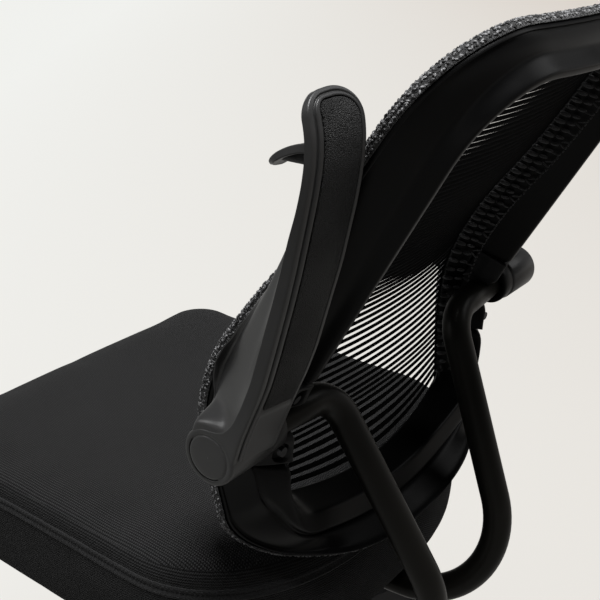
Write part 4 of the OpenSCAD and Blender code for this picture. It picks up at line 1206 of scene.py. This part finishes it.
def arm_blade(sign, turn):
    """Rows of points round the blade, from the pad's seat over the rim to the underside."""
    x, s, inx, ins, share = arm_rim(-18.0)
    middle_x, middle_s = np.full_like(x, arm_middle_x), np.minimum(s, tip_middle)
    seat_share = ease((s - pad_seat_start) / 5)
    flow = 1 - ease((s - 25) / 50)
    near = 1 - ease((s - 50) / 60)
    swell = hub_swell * flow * share
    tilt = along_arm(arm_tilt, s)
    side = np.interp(s, *np.array(arm_side_depth, float).T)
    ridge = np.minimum(np.interp(s, *np.array(arm_ridge, float).T), side - 0.8)
    deep = side + (1 - share) * tilt
    t, p = along_arm(arm_middle[:, 0], s), along_arm(arm_middle[:, 1], s) - tilt / 2

    def saddle(depth):
        """How far the side draws in at a depth, away from the hub."""
        off_hub = ease((np.hypot(t, p - depth) - hub_reach) / saddle_run)
        return (0.5 + 0.08 * near) * (depth - ridge) * off_hub

    seat_depth = -pad_seat_depth * ease((middle_s - pad_seat_start) / 5)
    rows = [(middle_x, middle_s, seat_depth)]
    for (outer_in, outer_drop), (inner_in, inner_drop) in zip(outer_edge, inner_edge):
        inset = share * outer_in + (1 - share) * inner_in
        drop = share * outer_drop + (1 - share) * inner_drop
        if (outer_in, outer_drop) in outer_edge[:2]:
            drop = drop * seat_share
        rows.append((x + inx * inset + swell, s + ins * inset, drop))
    for f in (0.3, 0.7, 0.95, 1.0):
        drop = 1.2 + (ridge * share + deep * 0.35 * (1 - share) - 1.2) * f
        rows.append((x + swell + 1.8 * f * share * (1 - flow), s, -drop))
    for f in (0.015, 0.05, 0.12, 0.24, 0.38, 0.52, 0.66, 0.78, 0.88, 0.94):
        d = ridge + (deep - ridge) * f
        drop = share * d + (1 - share) * deep * (0.35 + 0.65 * f)
        roll = 1.8 * (1 - flow) * (1 - ease(f * 5))
        inset = share * (0.25 + saddle(d) * share - roll) + max(0.0, f - 0.8) ** 2 * 60
        rows.append((x + inx * inset + swell, s + ins * inset, -drop))
    inset = np.minimum(share * (saddle(deep) + 3.4) + (1 - share) * 4.0, 23)
    rows.append((x + inx * inset, s + ins * inset, -deep + 0.15))
    slope = 0.5 - 0.35 * 0.5 * np.sign(x - arm_middle_x)
    rows.append((
        middle_x + 0.35 * (x - middle_x), 0.4 * s + 0.6 * middle_s, -(side + slope * tilt),
    ))
    rows.append((middle_x, middle_s, -(side + 0.5 * tilt)))
    return np.array([arm_place(sign, turn, *row) for row in rows])


# share of the way in to the pad's middle, and height there
pad_crown = (
    (0, -2.2), (0, -0.7), (0.015, -0.1), (0.045, 0.12), (0.12, 0.3), (0.3, 0.75), (0.55, 1.15),
    (0.8, 1.35), (1, 1.4),
)


def arm_pad(sign, turn):
    """Rings of points over the pad, from its hidden edge over the rounded rim to its middle."""
    x, s, inx, ins, share = arm_rim(pad_start)
    inset = share * pad_inset_outer + (1 - share) * pad_inset_inner
    x, s = x + inx * inset, s + ins * inset
    low_x = np.linspace(x[-1], x[0], 14)[1:-1]
    low_s = np.full_like(low_x, s[0])
    x, s = np.concatenate([x, low_x]), np.concatenate([s, low_s])
    middle_x = np.full_like(x, (x.max() + x.min()) / 2)
    middle_s = np.clip(s, pad_start + 16, tip_middle)
    return np.array([
        arm_place(sign, turn, x + (middle_x - x) * share_in, s + (middle_s - s) * share_in, d)
        for share_in, d in pad_crown
    ])


arm_plastic = moulded(
    "arm_plastic", (0.025, 0.025, 0.0252), 0.36, grain=1500, depth=0.00006, coat=0.12,
    specular=0.26,
)
pad_skin, pad_shader, pad_place = new_finish(
    "pad_skin", (0.02, 0.02, 0.0202), 0.5, specular=0.1,
)
pebbles = pad_place.cells(1250)
pad_cloud = pad_place.noise(22)
pad_place.feed(pad_shader, "Base Color", (pad_cloud * 0.6 + pebbles * 0.5).between(
    0.2, 0.8, (0.042, 0.042, 0.042), (0.010, 0.010, 0.010),
))
pad_place.feed(pad_shader, "Roughness", pad_cloud * 0.14 + 0.34)
pad_place.feed(pad_shader, "Normal", (1 - pebbles).bump(0.0009))

# radius and distance from the chair's middle
hub_profile = (
    (8.3, 217.0), (22, 217.0), (24.2, 217.5), (25, 218.6), (25, 267.4), (24.8, 268.6),
    (24.2, 269.5), (23.2, 270.0), (20.3, 270.0), (20.0, 269.8), (19.85, 269.2), (19.8, 265.4),
    (8.3, 265.4),
)
cap_profile = (
    (0.02, 266.0), (19.0, 266.0), (19.1, 269.2), (18.9, 270.0), (18.2, 270.5), (17, 270.7),
    (12, 270.8), (4, 270.9), (1, 270.9), (0.02, 270.9),
)
melt, hub_sides = 0.0001, 96
raised, lowered = math.radians(105.2), math.radians(17.2)
for side_name, sign, turn in (("left", 1, raised), ("right", -1, lowered)):
    body = f"arm_{side_name}"
    blade = lay(f"arm_blade_{side_name}", arm_blade(sign, turn), material=arm_plastic)
    finish_mesh(blade, melt)
    subdivide(blade, 1)
    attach(blade, body)
    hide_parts(body)
    hub = turned_ring(f"arm_hub_{side_name}", sign, hub_profile, arm_plastic, hub_sides)
    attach(hub, body)
    cap = turned_ring(f"hub_cap_face_{side_name}", sign, cap_profile, arm_plastic, hub_sides)
    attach(cap, body)
    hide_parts(f"hub_cap_{side_name}")
    pad = lay(
        f"arm_pad_skin_{side_name}", arm_pad(sign, turn), closed=(False, True),
        ends=(True, False), material=pad_skin,
    )
    finish_mesh(pad, melt)
    subdivide(pad, 1)
    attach(pad, body)
    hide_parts(f"arm_pad_{side_name}")

bpy.context.scene.view_settings.view_transform = "Standard"
